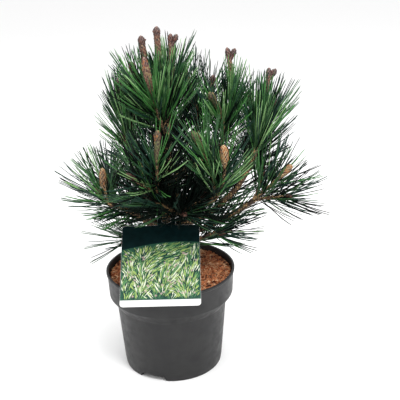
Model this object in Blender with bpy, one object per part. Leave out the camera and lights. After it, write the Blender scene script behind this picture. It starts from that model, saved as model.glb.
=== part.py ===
"""A young Bosnian pine in its nursery pot: pot, root ball, card label, trunk, boughs and needle masses.

Metres, +Z up. The origin is the middle of the pot's flat underside, and the card label faces -Y.
"""

import math
import random

import bmesh
import bpy
from mathutils import Matrix, Vector

GAP = 0.0003
UP = Vector((0, 0, 1))
GOLDEN_TURN = math.radians(137.5)

# The pot, a five-litre container with a deep collar
POT_HEIGHT = 0.177
POT_WALL = 0.0022
POT_FLOOR = 0.0030
LIP_RADIUS = 0.1105
COLLAR_TOP_RADIUS = 0.1088
COLLAR_FOOT_RADIUS = 0.1070
COLLAR_FOOT = 0.134
BODY_TOP_RADIUS = 0.0948
BODY_TOP = 0.1165
BODY_FOOT_RADIUS = 0.0862
BASE_RADIUS = 0.0846
FOOT_RISE = 0.0106
POT_STEPS = 38

# Three drain notches, each an arch through the wall under a raised pocket in the floor
NOTCH_AZIMUTHS = (-113.8, 6.2, 126.2)
NOTCH_SPAN = 38.0
NOTCH_HEIGHT = 0.0090
NOTCH_SLOPE = 0.30
NOTCH_INNER = 0.056
POCKET_ROOF = 0.0020
DRAIN_RADIUS = 0.005

# The root ball's top
SOIL_TOP = 0.1680
SOIL_EDGE = 0.1655

# The card label, leaning from the collar's lip to the trunk it is looped round
CARD_WIDTH = 0.129
CARD_LENGTH = 0.1450
CARD_THICKNESS = 0.0010
CARD_SLOPE = math.radians(38.9)
CARD_OVERHANG = 0.018
CARD_SHIFT = -0.013
CARD_CORNER = 0.005
TONGUE_WIDTH = 0.030
LOOP_HEIGHT = 0.2665
LOOP_ACROSS = 0.0100
LOOP_ALONG = 0.0125

# The trunk, from its flared foot to the whorl that ends it
TRUNK_FOOT = SOIL_TOP + GAP
TRUNK_TOP = 0.402
FLARE_RADIUS = 0.0150
FLARE_HEIGHT = 0.020
TRUNK_RADIUS = 0.0088
TRUNK_TIP_RADIUS = 0.0048
TRUNK_SWAY = 0.004
TRUNK_RINGS = 10

# Boughs and shoots
BOUGH_ROOT_RADIUS = 0.0043
BOUGH_TIP_RADIUS = 0.0034
STOUT_SHARE = 1.2
STOUT_REACH = 0.15
BOUGH_RINGS = 6
WHORL_RADIUS = 0.0042
STEM_LENGTH = 0.008
SHOOT_RADIUS = 0.0030
SHOOT_RINGS = 6
CANDLE_RADIUS = 0.0048
BUD_RADIUS = 0.0056
TWIN_RADIUS = 0.0044
BUD_LENGTH = 0.0125
# Where a second head leaves its candle, and how far it reaches, in bud lengths
TWIN_FROM = 1.4
TWIN_REACH = 1.7

# Needles: three-sided spikes, stouter than life because there are fewer of them
NEEDLE_LENGTH = 0.080
NEEDLE_RADIUS = 0.0017
NEEDLE_LIFT = 0.16
NEEDLES_FROM = 0.16
NEEDLES_PER_SHOOT = 17
NEEDLE_CLEARANCE = 0.0010
NEEDLE_STEPS = 12
NEEDLE_FREE_FROM = 0.12

# Where no needle grows: close over the card and the pot, and below the line of sight over the card's top edge
CARD_CLEARANCE = 0.002
POT_CLEARANCE = 0.008
SIGHT_HEIGHT = 0.2530
SIGHT_SLOPE = 0.385
SIGHT_DEPTH = 0.13

# Each bough: the height where it leaves the trunk, the azimuth and the lean from upright that it leaves at
# (azimuth 0 is +X and 90 is +Y, away from the card), and where its tip stands. Its shoots follow, each as the
# place of its candle's tip, the candle's length, the buds on it and the spread of its needles in degrees.
BOUGHS = {
    "left_upper": {
        "leaves": 0.321, "aim": (166, 62), "tip": (-0.050, 0.011, 0.370),
        "shoots": (((-0.074, 0.034, 0.499), 0.056, 1, 16), ((-0.066, -0.030, 0.418), 0.026, 1, 18)),
    },
    "left_low": {
        "leaves": 0.240, "aim": (192, 50), "tip": (-0.082, -0.044, 0.306),
        "shoots": (((-0.100, -0.040, 0.371), 0.034, 1, 50), ((-0.112, -0.053, 0.343), 0.012, 1, 38)),
    },
    "left_base": {
        "leaves": 0.207, "aim": (178, 72), "tip": (-0.054, 0.002, 0.226),
        "shoots": (((-0.082, -0.008, 0.224), 0.012, 1, 24), ((-0.077, 0.034, 0.230), 0.012, 1, 28)),
    },
    "right_upper": {
        "leaves": 0.331, "aim": (4, 62), "tip": (0.078, 0.002, 0.378),
        "shoots": (((0.102, 0.020, 0.547), 0.080, 2, 18), ((0.071, -0.050, 0.491), 0.044, 1, 34)),
    },
    "right_outer": {
        "leaves": 0.243, "aim": (-8, 72), "tip": (0.134, -0.026, 0.362),
        "shoots": (
            ((0.168, 0.010, 0.515), 0.080, 2, 20), ((0.136, 0.040, 0.471), 0.036, 1, 26),
            ((0.176, -0.012, 0.470), 0.034, 1, 28),
        ),
    },
    "right_low": {
        "leaves": 0.222, "aim": (8, 74), "tip": (0.134, -0.032, 0.302),
        "shoots": (
            ((0.202, -0.030, 0.365), 0.026, 1, 44), ((0.200, -0.062, 0.322), 0.010, 1, 40),
            ((0.158, -0.010, 0.362), 0.018, 1, 34),
        ),
    },
    "right_base": {
        "leaves": 0.207, "aim": (-18, 70), "tip": (0.060, -0.020, 0.239),
        "shoots": (((0.094, -0.040, 0.251), 0.012, 1, 34), ((0.106, -0.004, 0.245), 0.012, 1, 34)),
    },
    "front_left": {
        "leaves": 0.313, "aim": (-118, 62), "tip": (-0.014, -0.054, 0.334),
        "shoots": (((-0.007, -0.090, 0.445), 0.046, 1, 42), ((-0.058, -0.092, 0.378), 0.016, 1, 46)),
    },
    "front_right": {
        "leaves": 0.303, "aim": (-44, 66), "tip": (0.058, -0.048, 0.312),
        "shoots": (((0.091, -0.080, 0.416), 0.026, 1, 40), ((0.044, -0.084, 0.441), 0.030, 1, 38)),
    },
    "front_low": {
        "leaves": 0.289, "aim": (-84, 66), "tip": (0.010, -0.038, 0.296),
        "shoots": (
            ((0.031, -0.084, 0.306), 0.014, 1, 46), ((0.066, -0.060, 0.334), 0.012, 1, 44),
            ((-0.036, -0.072, 0.338), 0.012, 1, 44),
        ),
    },
    "right_back": {
        "leaves": 0.234, "aim": (40, 68), "tip": (0.120, 0.050, 0.318),
        "shoots": (((0.158, 0.034, 0.390), 0.020, 1, 34), ((0.132, 0.112, 0.374), 0.020, 1, 44)),
    },
    "back_right": {
        "leaves": 0.302, "aim": (54, 60), "tip": (0.048, 0.070, 0.362),
        "shoots": (((0.082, 0.112, 0.485), 0.034, 1, 38), ((0.030, 0.086, 0.505), 0.036, 1, 36)),
    },
    "back": {
        "leaves": 0.245, "aim": (95, 60), "tip": (-0.004, 0.102, 0.328),
        "shoots": (
            ((-0.004, 0.172, 0.424), 0.028, 1, 44), ((0.048, 0.130, 0.440), 0.024, 1, 40),
            ((-0.062, 0.132, 0.436), 0.024, 1, 40),
        ),
    },
    "back_left": {
        "leaves": 0.294, "aim": (130, 62), "tip": (-0.054, 0.064, 0.352),
        "shoots": (((-0.062, 0.104, 0.458), 0.030, 1, 25), ((-0.034, 0.082, 0.500), 0.034, 1, 34)),
    },
    "left_back": {
        "leaves": 0.232, "aim": (146, 70), "tip": (-0.090, 0.040, 0.290),
        "shoots": (((-0.114, 0.060, 0.326), 0.022, 1, 28), ((-0.098, 0.112, 0.308), 0.018, 1, 32)),
    },
    "back_low": {
        "leaves": 0.207, "aim": (76, 64), "tip": (0.040, 0.096, 0.270),
        "shoots": (((0.074, 0.164, 0.312), 0.018, 1, 48), ((0.004, 0.164, 0.306), 0.018, 1, 48)),
    },
    "back_base": {
        "leaves": 0.222, "aim": (122, 64), "tip": (-0.046, 0.088, 0.270),
        "shoots": (((-0.064, 0.152, 0.308), 0.016, 1, 48), ((-0.110, 0.110, 0.292), 0.016, 1, 48)),
    },
}

# The shoots of the whorl that ends the trunk
LEADER_SHOOTS = (
    ((-0.007, 0.000, 0.585), 0.098, 1, 30), ((-0.031, -0.010, 0.573), 0.094, 1, 32),
    ((0.014, 0.010, 0.572), 0.088, 2, 30), ((-0.025, -0.050, 0.547), 0.066, 1, 36),
    ((-0.049, 0.002, 0.531), 0.044, 1, 28), ((0.016, 0.050, 0.550), 0.050, 1, 34),
)

# How far a shoot starts along its limb's aim, against its own way: the leader's start wider than they end
SHOOT_BOW = 1.0
LEADER_BOW = -0.4


def clear_scene():
    for thing in list(bpy.data.objects):
        bpy.data.objects.remove(thing)


def finish(name, colour, roughness):
    made = bpy.data.materials.new(name)
    made.use_nodes = True
    shader = made.node_tree.nodes["Principled BSDF"]
    shader.inputs["Base Color"].default_value = (*colour, 1)
    shader.inputs["Roughness"].default_value = roughness
    shader.inputs["Metallic"].default_value = 0.0
    return made


def new_object(name, mesh, material=None):
    made = bpy.data.objects.new(name, mesh)
    bpy.context.scene.collection.objects.link(made)
    if material:
        mesh.materials.append(material)
    return made


def mesh_from(bm, name):
    bmesh.ops.recalc_face_normals(bm, faces=bm.faces)
    mesh = bpy.data.meshes.new(name)
    bm.to_mesh(mesh)
    bm.free()
    return mesh


def helper(name, mesh):
    """A cutter or a block, kept out of the part and of any render."""
    made = new_object(name, mesh)
    made.hide_render = True
    made.display_type = "WIRE"
    return made


def baked(thing):
    """Replaces an object's mesh by what its modifiers make of it."""
    graph = bpy.context.evaluated_depsgraph_get()
    mesh = bpy.data.meshes.new_from_object(thing.evaluated_get(graph), depsgraph=graph)
    thing.modifiers.clear()
    thing.data = mesh
    return thing


def boolean(thing, other, operation):
    modifier = thing.modifiers.new(operation.title(), "BOOLEAN")
    modifier.operation = operation
    modifier.solver = "EXACT"
    modifier.object = other


# Turned shapes

def polar(azimuth, distance, height):
    turn = math.radians(azimuth)
    return Vector((distance * math.cos(turn), distance * math.sin(turn), height))


def turned(profile, steps):
    """A closed solid of revolution, from a profile that starts and ends on the axis."""
    bm = bmesh.new()
    ring = [bm.verts.new((radius, 0, height)) for radius, height in profile]
    for lower, upper in zip(ring, ring[1:]):
        bm.edges.new((lower, upper))
    bmesh.ops.spin(
        bm, geom=bm.verts[:] + bm.edges[:], cent=(0, 0, 0), axis=UP, dvec=(0, 0, 0),
        angle=2 * math.pi, steps=steps, use_merge=True,
    )
    bmesh.ops.remove_doubles(bm, verts=bm.verts, dist=1e-6)
    return mesh_from(bm, "turned")


def sector(inner, outer, low, high, azimuth, span, slope=0.0):
    """A block between two radii and two heights, whose ends lean in by slope towards its top."""
    bm = bmesh.new()
    half = math.radians(span) / 2
    corners = [bm.verts.new((r, 0, z)) for r, z in ((inner, low), (outer, low), (outer, high), (inner, high))]
    face = bm.faces.new(corners)
    bmesh.ops.rotate(bm, verts=bm.verts, matrix=Matrix.Rotation(-half, 3, "Z"))
    bmesh.ops.spin(
        bm, geom=[face, *face.edges, *face.verts], cent=(0, 0, 0), axis=UP, dvec=(0, 0, 0),
        angle=2 * half, steps=4,
    )
    bmesh.ops.remove_doubles(bm, verts=bm.verts, dist=1e-6)
    for vert in bm.verts:
        turn = math.atan2(vert.co.y, vert.co.x)
        kept = 1 - slope * (vert.co.z > (low + high) / 2)
        radius = math.hypot(vert.co.x, vert.co.y)
        turn = math.radians(azimuth) + turn * kept
        vert.co = Vector((radius * math.cos(turn), radius * math.sin(turn), vert.co.z))
    inside = [face for face in bm.faces if all(len(edge.link_faces) > 2 for edge in face.edges)]
    bmesh.ops.delete(bm, geom=inside, context="FACES")
    bmesh.ops.triangulate(bm, faces=bm.faces)
    return mesh_from(bm, "sector")


def outer_profile():
    return [
        (0, 0), (BASE_RADIUS, 0), (BODY_FOOT_RADIUS, FOOT_RISE), (BODY_TOP_RADIUS, BODY_TOP),
        (COLLAR_FOOT_RADIUS, COLLAR_FOOT), (COLLAR_TOP_RADIUS, POT_HEIGHT - 0.005),
        (LIP_RADIUS, POT_HEIGHT - 0.004), (LIP_RADIUS, POT_HEIGHT - 0.001), (LIP_RADIUS - 0.001, POT_HEIGHT),
    ]


def inner_profile(inset=0.0, lift=0.0):
    """The hollow's wall, from the axis outwards, set in by a clearance where the root ball uses it."""
    points = (
        (0, POT_FLOOR), (BODY_FOOT_RADIUS - POT_WALL - 0.0005, POT_FLOOR),
        (BODY_TOP_RADIUS - POT_WALL, BODY_TOP + 0.001), (COLLAR_FOOT_RADIUS - POT_WALL, COLLAR_FOOT + 0.001),
        (COLLAR_TOP_RADIUS - POT_WALL, POT_HEIGHT),
    )
    return [(max(radius - inset, 0), height + lift) for radius, height in points]


def build_pot(material):
    rim = outer_profile()
    pot = new_object("pot", turned(rim + inner_profile()[::-1], POT_STEPS), material)
    blocks, cutters = [], []
    for number, azimuth in enumerate(NOTCH_AZIMUTHS):
        roof = sector(
            NOTCH_INNER - POCKET_ROOF, BASE_RADIUS - 0.0002, POT_FLOOR / 2, NOTCH_HEIGHT + POCKET_ROOF,
            azimuth, NOTCH_SPAN + 3,
        )
        blocks.append(helper(f"pocket_{number}", roof))
        notch = sector(NOTCH_INNER, LIP_RADIUS, -0.01, NOTCH_HEIGHT, azimuth, NOTCH_SPAN, NOTCH_SLOPE)
        cutters.append(helper(f"notch_{number}", notch))
        cutters.append(helper(f"drain_{number}", drain_hole(azimuth)))
    for block in blocks:
        boolean(pot, block, "UNION")
    for cutter in cutters:
        boolean(pot, cutter, "DIFFERENCE")
    baked(pot).data.set_sharp_from_angle(angle=math.radians(30))
    return pot


def drain_hole(azimuth):
    bm = bmesh.new()
    bmesh.ops.create_cone(
        bm, cap_ends=True, segments=10, radius1=DRAIN_RADIUS, radius2=DRAIN_RADIUS, depth=0.02,
    )
    bmesh.ops.translate(bm, verts=bm.verts, vec=polar(azimuth, (NOTCH_INNER + BASE_RADIUS) / 2, NOTCH_HEIGHT))
    return mesh_from(bm, "drain")


def build_root_ball(material):
    wall = inner_profile(GAP, GAP)[:-1]
    flare = (COLLAR_TOP_RADIUS - COLLAR_FOOT_RADIUS) / (POT_HEIGHT - COLLAR_FOOT)
    edge = wall[-1][0] + (SOIL_EDGE - COLLAR_FOOT) * flare
    top = [(edge - GAP, SOIL_EDGE), (0.088, SOIL_TOP - 0.0006), (0.045, SOIL_TOP), (0, SOIL_TOP)]
    ball = new_object("root_ball", turned(wall + top, POT_STEPS), material)
    for number, azimuth in enumerate(NOTCH_AZIMUTHS):
        space = sector(
            NOTCH_INNER - POCKET_ROOF - GAP, LIP_RADIUS, -0.01, NOTCH_HEIGHT + POCKET_ROOF + GAP,
            azimuth, NOTCH_SPAN + 3.6,
        )
        boolean(ball, helper(f"pocket_space_{number}", space), "DIFFERENCE")
    return baked(ball)


# The card label

def card_frame():
    """The card's middle on the collar's lip, its direction up the slope, and its face's direction."""
    along = Vector((0, math.cos(CARD_SLOPE), math.sin(CARD_SLOPE)))
    facing = Vector((0, -math.sin(CARD_SLOPE), math.cos(CARD_SLOPE)))
    lip = Vector((0, -(LIP_RADIUS - 0.0009), POT_HEIGHT))
    return lip + facing * (GAP + 0.0004), along, facing


def arc(x, y, radius, start, steps):
    """Points on an arc about (x, y): a quarter turn in three steps, or half a turn in eight."""
    sweep = 90 if steps == 3 else 180
    turns = [math.radians(start + sweep * step / steps) for step in range(steps + 1)]
    return [(x + radius * math.cos(turn), y + radius * math.sin(turn)) for turn in turns]


def build_label(material):
    """A card with round corners and a tongue whose slot the trunk stands in."""
    lip, along, facing = card_frame()
    origin = lip - along * CARD_OVERHANG
    trunk = trunk_point(LOOP_HEIGHT)
    loop = (trunk.x - CARD_SHIFT, (trunk - origin).dot(along))
    corner, tongue = CARD_CORNER, TONGUE_WIDTH / 2
    across, length = CARD_WIDTH / 2 - corner, CARD_LENGTH - corner
    outline = arc(across, corner, corner, -90, 3) + arc(across, length, corner, 0, 3)
    outline += [(loop[0] + tongue, CARD_LENGTH), *arc(*loop, tongue, 0, 8), (loop[0] - tongue, CARD_LENGTH)]
    outline += arc(-across, length, corner, 90, 3) + arc(-across, corner, corner, 180, 3)
    bm = bmesh.new()
    face = bm.faces.new([bm.verts.new((x, y, 0)) for x, y in outline])
    grown = bmesh.ops.extrude_face_region(bm, geom=[face])
    top = [v for v in grown["geom"] if isinstance(v, bmesh.types.BMVert)]
    bmesh.ops.translate(bm, verts=top, vec=(0, 0, CARD_THICKNESS))
    card = new_object("label", mesh_from(bm, "label"), material)
    slot = bmesh.new()
    bmesh.ops.create_cone(slot, cap_ends=True, segments=20, radius1=1, radius2=1, depth=0.02)
    bmesh.ops.scale(slot, verts=slot.verts, vec=(LOOP_ACROSS, LOOP_ALONG, 1))
    bmesh.ops.translate(slot, verts=slot.verts, vec=(*loop, 0))
    boolean(card, helper("loop_slot", mesh_from(slot, "slot")), "DIFFERENCE")
    baked(card)
    placed = Matrix((
        (1, 0, 0, CARD_SHIFT), (0, along.y, facing.y, origin.y),
        (0, along.z, facing.z, origin.z), (0, 0, 0, 1),
    ))
    card.data.transform(placed)
    return card


# Limbs

def leaning(azimuth, lean):
    """The unit direction that leans from upright by lean, towards azimuth."""
    return polar(azimuth, math.sin(math.radians(lean)), math.cos(math.radians(lean)))


def bent(start, middle, end, steps):
    """Points along the parabola that leaves start towards middle and reaches end."""
    points = []
    for step in range(steps + 1):
        t = step / steps
        points.append(start * (1 - t) ** 2 + middle * (2 * t * (1 - t)) + end * t * t)
    return points


def trunk_point(height):
    share = (height - TRUNK_FOOT) / (TRUNK_TOP - TRUNK_FOOT)
    sway = TRUNK_SWAY * math.sin(share * math.pi * 1.5)
    return Vector((-sway, sway * share, height))


def trunk_radius(height):
    share = (height - TRUNK_FOOT) / (TRUNK_TOP - TRUNK_FOOT)
    flare = math.exp(-(height - TRUNK_FOOT) / FLARE_HEIGHT * 2.2) * (FLARE_RADIUS - TRUNK_RADIUS)
    return TRUNK_RADIUS + (TRUNK_TIP_RADIUS - TRUNK_RADIUS) * share + flare


def trunk_line():
    shares = [(ring / TRUNK_RINGS) ** 1.4 for ring in range(TRUNK_RINGS + 1)]
    heights = [TRUNK_FOOT + (TRUNK_TOP - TRUNK_FOOT) * share for share in shares]
    return [trunk_point(height) for height in heights], [trunk_radius(height) for height in heights]


def bough_line(bough):
    start = trunk_point(bough["leaves"])
    end = Vector(bough["tip"])
    reach = (end - start).length
    middle = start + leaning(*bough["aim"]) * reach * 0.6
    stout = STOUT_SHARE if reach > STOUT_REACH else 1
    taper = (BOUGH_TIP_RADIUS - BOUGH_ROOT_RADIUS) / BOUGH_RINGS
    radii = [stout * (BOUGH_ROOT_RADIUS + taper * ring) for ring in range(BOUGH_RINGS + 1)]
    return bent(start, middle, end, BOUGH_RINGS), radii


def tube(points, radii, sides, flat_foot=False):
    """A closed tube along points: a disc that is extruded, turned and resized from each point to the next."""
    bm = bmesh.new()
    directions = [(b - a).normalized() for a, b in zip(points, points[1:])]
    directions.append(directions[-1])
    if flat_foot:
        directions[0] = UP.copy()
    aim = directions[0].to_track_quat("Z", "Y")
    bmesh.ops.create_circle(bm, cap_ends=True, segments=sides, radius=radii[0])
    bmesh.ops.transform(bm, verts=bm.verts, matrix=Matrix.Translation(points[0]) @ aim.to_matrix().to_4x4())
    cap = bm.faces[:]
    sizes = zip(radii, radii[1:])
    for before, after, size, old, new in zip(points, points[1:], sizes, directions, directions[1:]):
        grown = bmesh.ops.extrude_face_region(bm, geom=cap)["geom"]
        if before != points[0]:
            bmesh.ops.delete(bm, geom=cap, context="FACES")
        cap = [part for part in grown if isinstance(part, bmesh.types.BMFace)]
        verts = [part for part in grown if isinstance(part, bmesh.types.BMVert)]
        scale = Matrix.Scale(size[1] / size[0], 4)
        turn = old.rotation_difference(new).to_matrix().to_4x4()
        move = Matrix.Translation(after) @ turn @ scale @ Matrix.Translation(-before)
        bmesh.ops.transform(bm, verts=verts, matrix=move)
    return mesh_from(bm, "tube")


def build_trunk(material):
    points, radii = trunk_line()
    trunk = new_object("trunk", tube(points, radii, 12, flat_foot=True), material)
    trunk.data.shade_smooth()
    return trunk


def build_boughs(material):
    """Each bough starts inside the trunk, and what lies within the trunk's fattened outline is cut away."""
    points, radii = trunk_line()
    core = helper("trunk_space", tube(points, [radius + 2 * GAP for radius in radii], 12, flat_foot=True))
    for name, bough in BOUGHS.items():
        line, sizes = bough_line(bough)
        limb = new_object(f"bough_{name}", tube(line, sizes, 7), material)
        boolean(limb, core, "DIFFERENCE")
        baked(limb).data.shade_smooth()


# Foliage

def grow_shoots(foot, aim, rows, bow):
    """The shoots of one whorl: each has the line of its stem, its candle and the fan of its needles."""
    whorl = foot + aim * STEM_LENGTH
    shoots = []
    for tip, candle, buds, spread in rows:
        length = (Vector(tip) - whorl).length
        towards = (Vector(tip) - whorl) / length
        start = (towards + aim * bow).normalized()
        line = bent(whorl, whorl + start * (length * 0.45), Vector(tip), SHOOT_RINGS)
        bare = 1 - candle / length
        shoots.append({
            "line": line, "bare": bare, "length": length, "candle": candle, "buds": buds, "spread": spread,
        })
    return whorl, shoots


def along(line, share):
    """The point and direction at a share of a line's length."""
    place = min(max(share, 0), 1) * (len(line) - 1)
    first = min(int(place), len(line) - 2)
    step = line[first + 1] - line[first]
    return line[first] + step * (place - first), step.normalized()


def needle_tips(shoot, rng, count):
    """Where each needle roots and ends, by a spiral that climbs the stem up to the candle."""
    turn = rng.uniform(0, 2 * math.pi)
    for number in range(count):
        climb = (number + 0.5) / count
        share = NEEDLES_FROM + (shoot["bare"] - NEEDLES_FROM) * climb
        root, aim = along(shoot["line"], share)
        turn += GOLDEN_TURN
        side = aim.orthogonal().normalized()
        side.rotate(Matrix.Rotation(turn, 3, aim))
        fan = math.radians(shoot["spread"] * (1.25 - 0.6 * climb) + rng.uniform(-6, 6))
        out = aim * math.cos(fan) + side * math.sin(fan)
        length = NEEDLE_LENGTH * rng.uniform(0.88, 1.08)
        tip = root + out * length + UP * (length * NEEDLE_LIFT * math.sin(fan))
        yield root, tip


def distance_to_line(point, line):
    nearest = math.inf
    for a, b in zip(line, line[1:]):
        span = b - a
        share = min(max((point - a).dot(span) / span.length_squared, 0), 1)
        nearest = min(nearest, (point - a - span * share).length)
    return nearest


def meets_fixtures(point, room):
    """Whether a point of a needle is in the card's or the pot's space, or hides the card from the front."""
    lip, card_along, facing = card_frame()
    above = (point - lip).dot(facing)
    up_card = (point - lip).dot(card_along)
    beside_card = abs(point.x) > CARD_WIDTH and up_card > 0
    if abs(above) < room + CARD_CLEARANCE and up_card < CARD_LENGTH + 2 * TONGUE_WIDTH and not beside_card:
        return True
    if abs(point.x - CARD_SHIFT) < CARD_WIDTH / 2 and -SIGHT_DEPTH < point.y < 0:
        if point.z < SIGHT_HEIGHT - SIGHT_SLOPE * point.y:
            return True
    return point.z < POT_HEIGHT + POT_CLEARANCE and math.hypot(point.x, point.y) < LIP_RADIUS + POT_CLEARANCE


def keeps_to_space(root, tip, own, others, limbs):
    """Whether a needle stays nearer to its own mass's shoots than to others', and clear of all else."""
    for step in range(1, NEEDLE_STEPS + 1):
        share = step / NEEDLE_STEPS
        point = root.lerp(tip, share)
        room = NEEDLE_RADIUS * (1 - share) + NEEDLE_CLEARANCE
        if share > NEEDLE_FREE_FROM:
            near = min(distance_to_line(point, line) for line in own)
            if any(distance_to_line(point, line) - near < 2 * room for line in others):
                return False
        if any(distance_to_line(point, line) < radius + room for line, radius in limbs):
            return False
        if meets_fixtures(point, room):
            return False
    return True


def crosses(root, tip, kept, stems):
    """Whether a needle would run through one of its neighbours or another stem of its own mass."""
    for step in range(3, 11):
        point = root.lerp(tip, step / 10)
        if any(distance_to_line(point, other) < NEEDLE_RADIUS for other in kept):
            return True
        if any(distance_to_line(point, stem) < CANDLE_RADIUS for stem in stems):
            return True
    return False


def needle_mesh(root, tip):
    bm = bmesh.new()
    length = (tip - root).length
    bmesh.ops.create_cone(bm, cap_ends=True, segments=3, radius1=NEEDLE_RADIUS, radius2=0, depth=length)
    bmesh.ops.translate(bm, verts=bm.verts, vec=(0, 0, length / 2))
    bmesh.ops.remove_doubles(bm, verts=bm.verts, dist=1e-6)
    aim = (tip - root).to_track_quat("Z", "Y").to_matrix().to_4x4()
    bmesh.ops.transform(bm, verts=bm.verts, matrix=Matrix.Translation(root) @ aim)
    return mesh_from(bm, "needle")


def candle_parts(shoot):
    """The candle's spindle and, where the photograph shows two buds, a second short head beside the first."""
    line, bare = shoot["line"], shoot["bare"]
    bud = min(BUD_LENGTH / shoot["candle"], 0.6) * (1 - bare)
    shares = [bare - 0.02, bare + (1 - bare - bud) * 0.4, 1 - bud * 0.62, 1]
    points = [along(line, share)[0] for share in shares]
    stout = CANDLE_RADIUS if shoot["candle"] > 0.03 else CANDLE_RADIUS * 0.85
    head = BUD_RADIUS if shoot["candle"] > 0.02 else BUD_RADIUS * 0.8
    if shoot["buds"] == 2:
        stout, head = TWIN_RADIUS * 0.88, TWIN_RADIUS
    yield tube(points, [SHOOT_RADIUS * 0.9, stout, head, head * 0.3], 6)
    if shoot["buds"] == 2:
        fork, aim = along(line, 1 - BUD_LENGTH * TWIN_FROM / shoot["length"])
        side = Vector((1, -0.3, 0.2))
        end = fork + (aim * 1.5 + side).normalized() * BUD_LENGTH * TWIN_REACH
        yield tube([fork, fork.lerp(end, 0.6), end], [stout, head, head * 0.3], 6)


def outer_shell(mesh):
    """Keeps the biggest closed surface, so that a gap sealed between crossing twigs is filled."""
    bm = bmesh.new()
    bm.from_mesh(mesh)
    waiting, shells = set(bm.faces), []
    while waiting:
        shell, border = set(), [waiting.pop()]
        while border:
            face = border.pop()
            shell.add(face)
            found = {other for edge in face.edges for other in edge.link_faces} & waiting
            waiting -= found
            border.extend(found)
        shells.append(shell)
    shells.sort(key=len)
    for shell in shells[:-1]:
        bmesh.ops.delete(bm, geom=list(shell), context="FACES")
    bm.to_mesh(mesh)
    bm.free()


def join_all(name, pieces, material):
    """Fuses a mass: one union over a collection that holds its stem, shoots, candles and needles."""
    held = bpy.data.collections.new(name)
    bpy.context.scene.collection.children.link(held)
    for number, mesh in enumerate(pieces[1:]):
        held.objects.link(bpy.data.objects.new(f"{name}_{number}", mesh))
    mass = new_object(name, pieces[0], material)
    modifier = mass.modifiers.new("Union", "BOOLEAN")
    modifier.operation = "UNION"
    modifier.operand_type = "COLLECTION"
    modifier.solver = "MANIFOLD"
    modifier.collection = held
    bpy.context.view_layer.update()
    outer_shell(baked(mass).data)
    for piece in list(held.objects):
        bpy.data.objects.remove(piece)
    bpy.data.collections.remove(held)
    return mass


def whorls():
    """Each mass by name: its foot, 0.3 mm past the limb that carries it, and its shoots."""
    points, _ = trunk_line()
    aim = (points[-1] - points[-2]).normalized()
    found = {"leader": (points[-1] + aim * GAP, aim, LEADER_SHOOTS)}
    for name, bough in BOUGHS.items():
        line, _ = bough_line(bough)
        aim = (line[-1] - line[-2]).normalized()
        found[name] = (line[-1] + aim * GAP, aim, bough["shoots"])
    return found


def limb_lines():
    points, radii = trunk_line()
    lines = {"trunk": (points, radii[TRUNK_RINGS // 2 - 1])}
    for name, bough in BOUGHS.items():
        line, _ = bough_line(bough)
        lines[name] = (line, BOUGH_ROOT_RADIUS)
    return lines


def build_masses(material):
    """Each mass of needles keeps to the space that is nearer to its own shoots than to any other mass's."""
    grown = {}
    for name, (foot, aim, rows) in whorls().items():
        bow = LEADER_BOW if name == "leader" else SHOOT_BOW
        grown[name] = (foot, aim, *grow_shoots(foot, aim, rows, bow))
    lines = {name: [shoot["line"] for shoot in shoots] for name, (_, _, _, shoots) in grown.items()}
    limbs = list(limb_lines().values())
    for order, (name, (foot, aim, whorl, shoots)) in enumerate(grown.items()):
        rng = random.Random(100 + order)
        tip_size = TRUNK_TIP_RADIUS if name == "leader" else BOUGH_TIP_RADIUS
        knot = [foot, whorl - aim * 0.002, whorl + aim * 0.003]
        pieces = [tube(knot, [tip_size, WHORL_RADIUS, WHORL_RADIUS * 0.7], 8)]
        others = [line for other, group in lines.items() if other != name for line in group]
        kept = []
        for shoot in shoots:
            stem = [along(shoot["line"], shoot["bare"] * share)[0] for share in (0, 0.3, 0.65, 1)]
            pieces.append(tube(stem, [SHOOT_RADIUS] * len(stem), 3))
            pieces.extend(candle_parts(shoot))
            stems = [line for line in lines[name] if line is not shoot["line"]]
            for root, tip in needle_tips(shoot, rng, NEEDLES_PER_SHOOT):
                if crosses(root, tip, kept, stems):
                    continue
                if keeps_to_space(root, tip, lines[name], others, limbs):
                    kept.append((root, tip))
                    pieces.append(needle_mesh(root, tip))
        join_all(f"needles_{name}", pieces, material)


def main():
    clear_scene()
    bark = finish("bark", (0.26, 0.20, 0.15), 0.85)
    build_pot(finish("pot_plastic", (0.07, 0.07, 0.07), 0.5))
    build_root_ball(finish("potting_mix", (0.23, 0.10, 0.05), 0.95))
    build_label(finish("label_card", (0.75, 0.80, 0.70), 0.4))
    build_trunk(bark)
    build_boughs(bark)
    build_masses(finish("needles", (0.06, 0.16, 0.06), 0.55))
    for thing in list(bpy.data.objects):
        if thing.hide_render:
            bpy.data.objects.remove(thing)


main()
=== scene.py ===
import math

import bmesh
import bpy
import numpy as np
from mathutils import Matrix, Vector, noise


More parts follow.
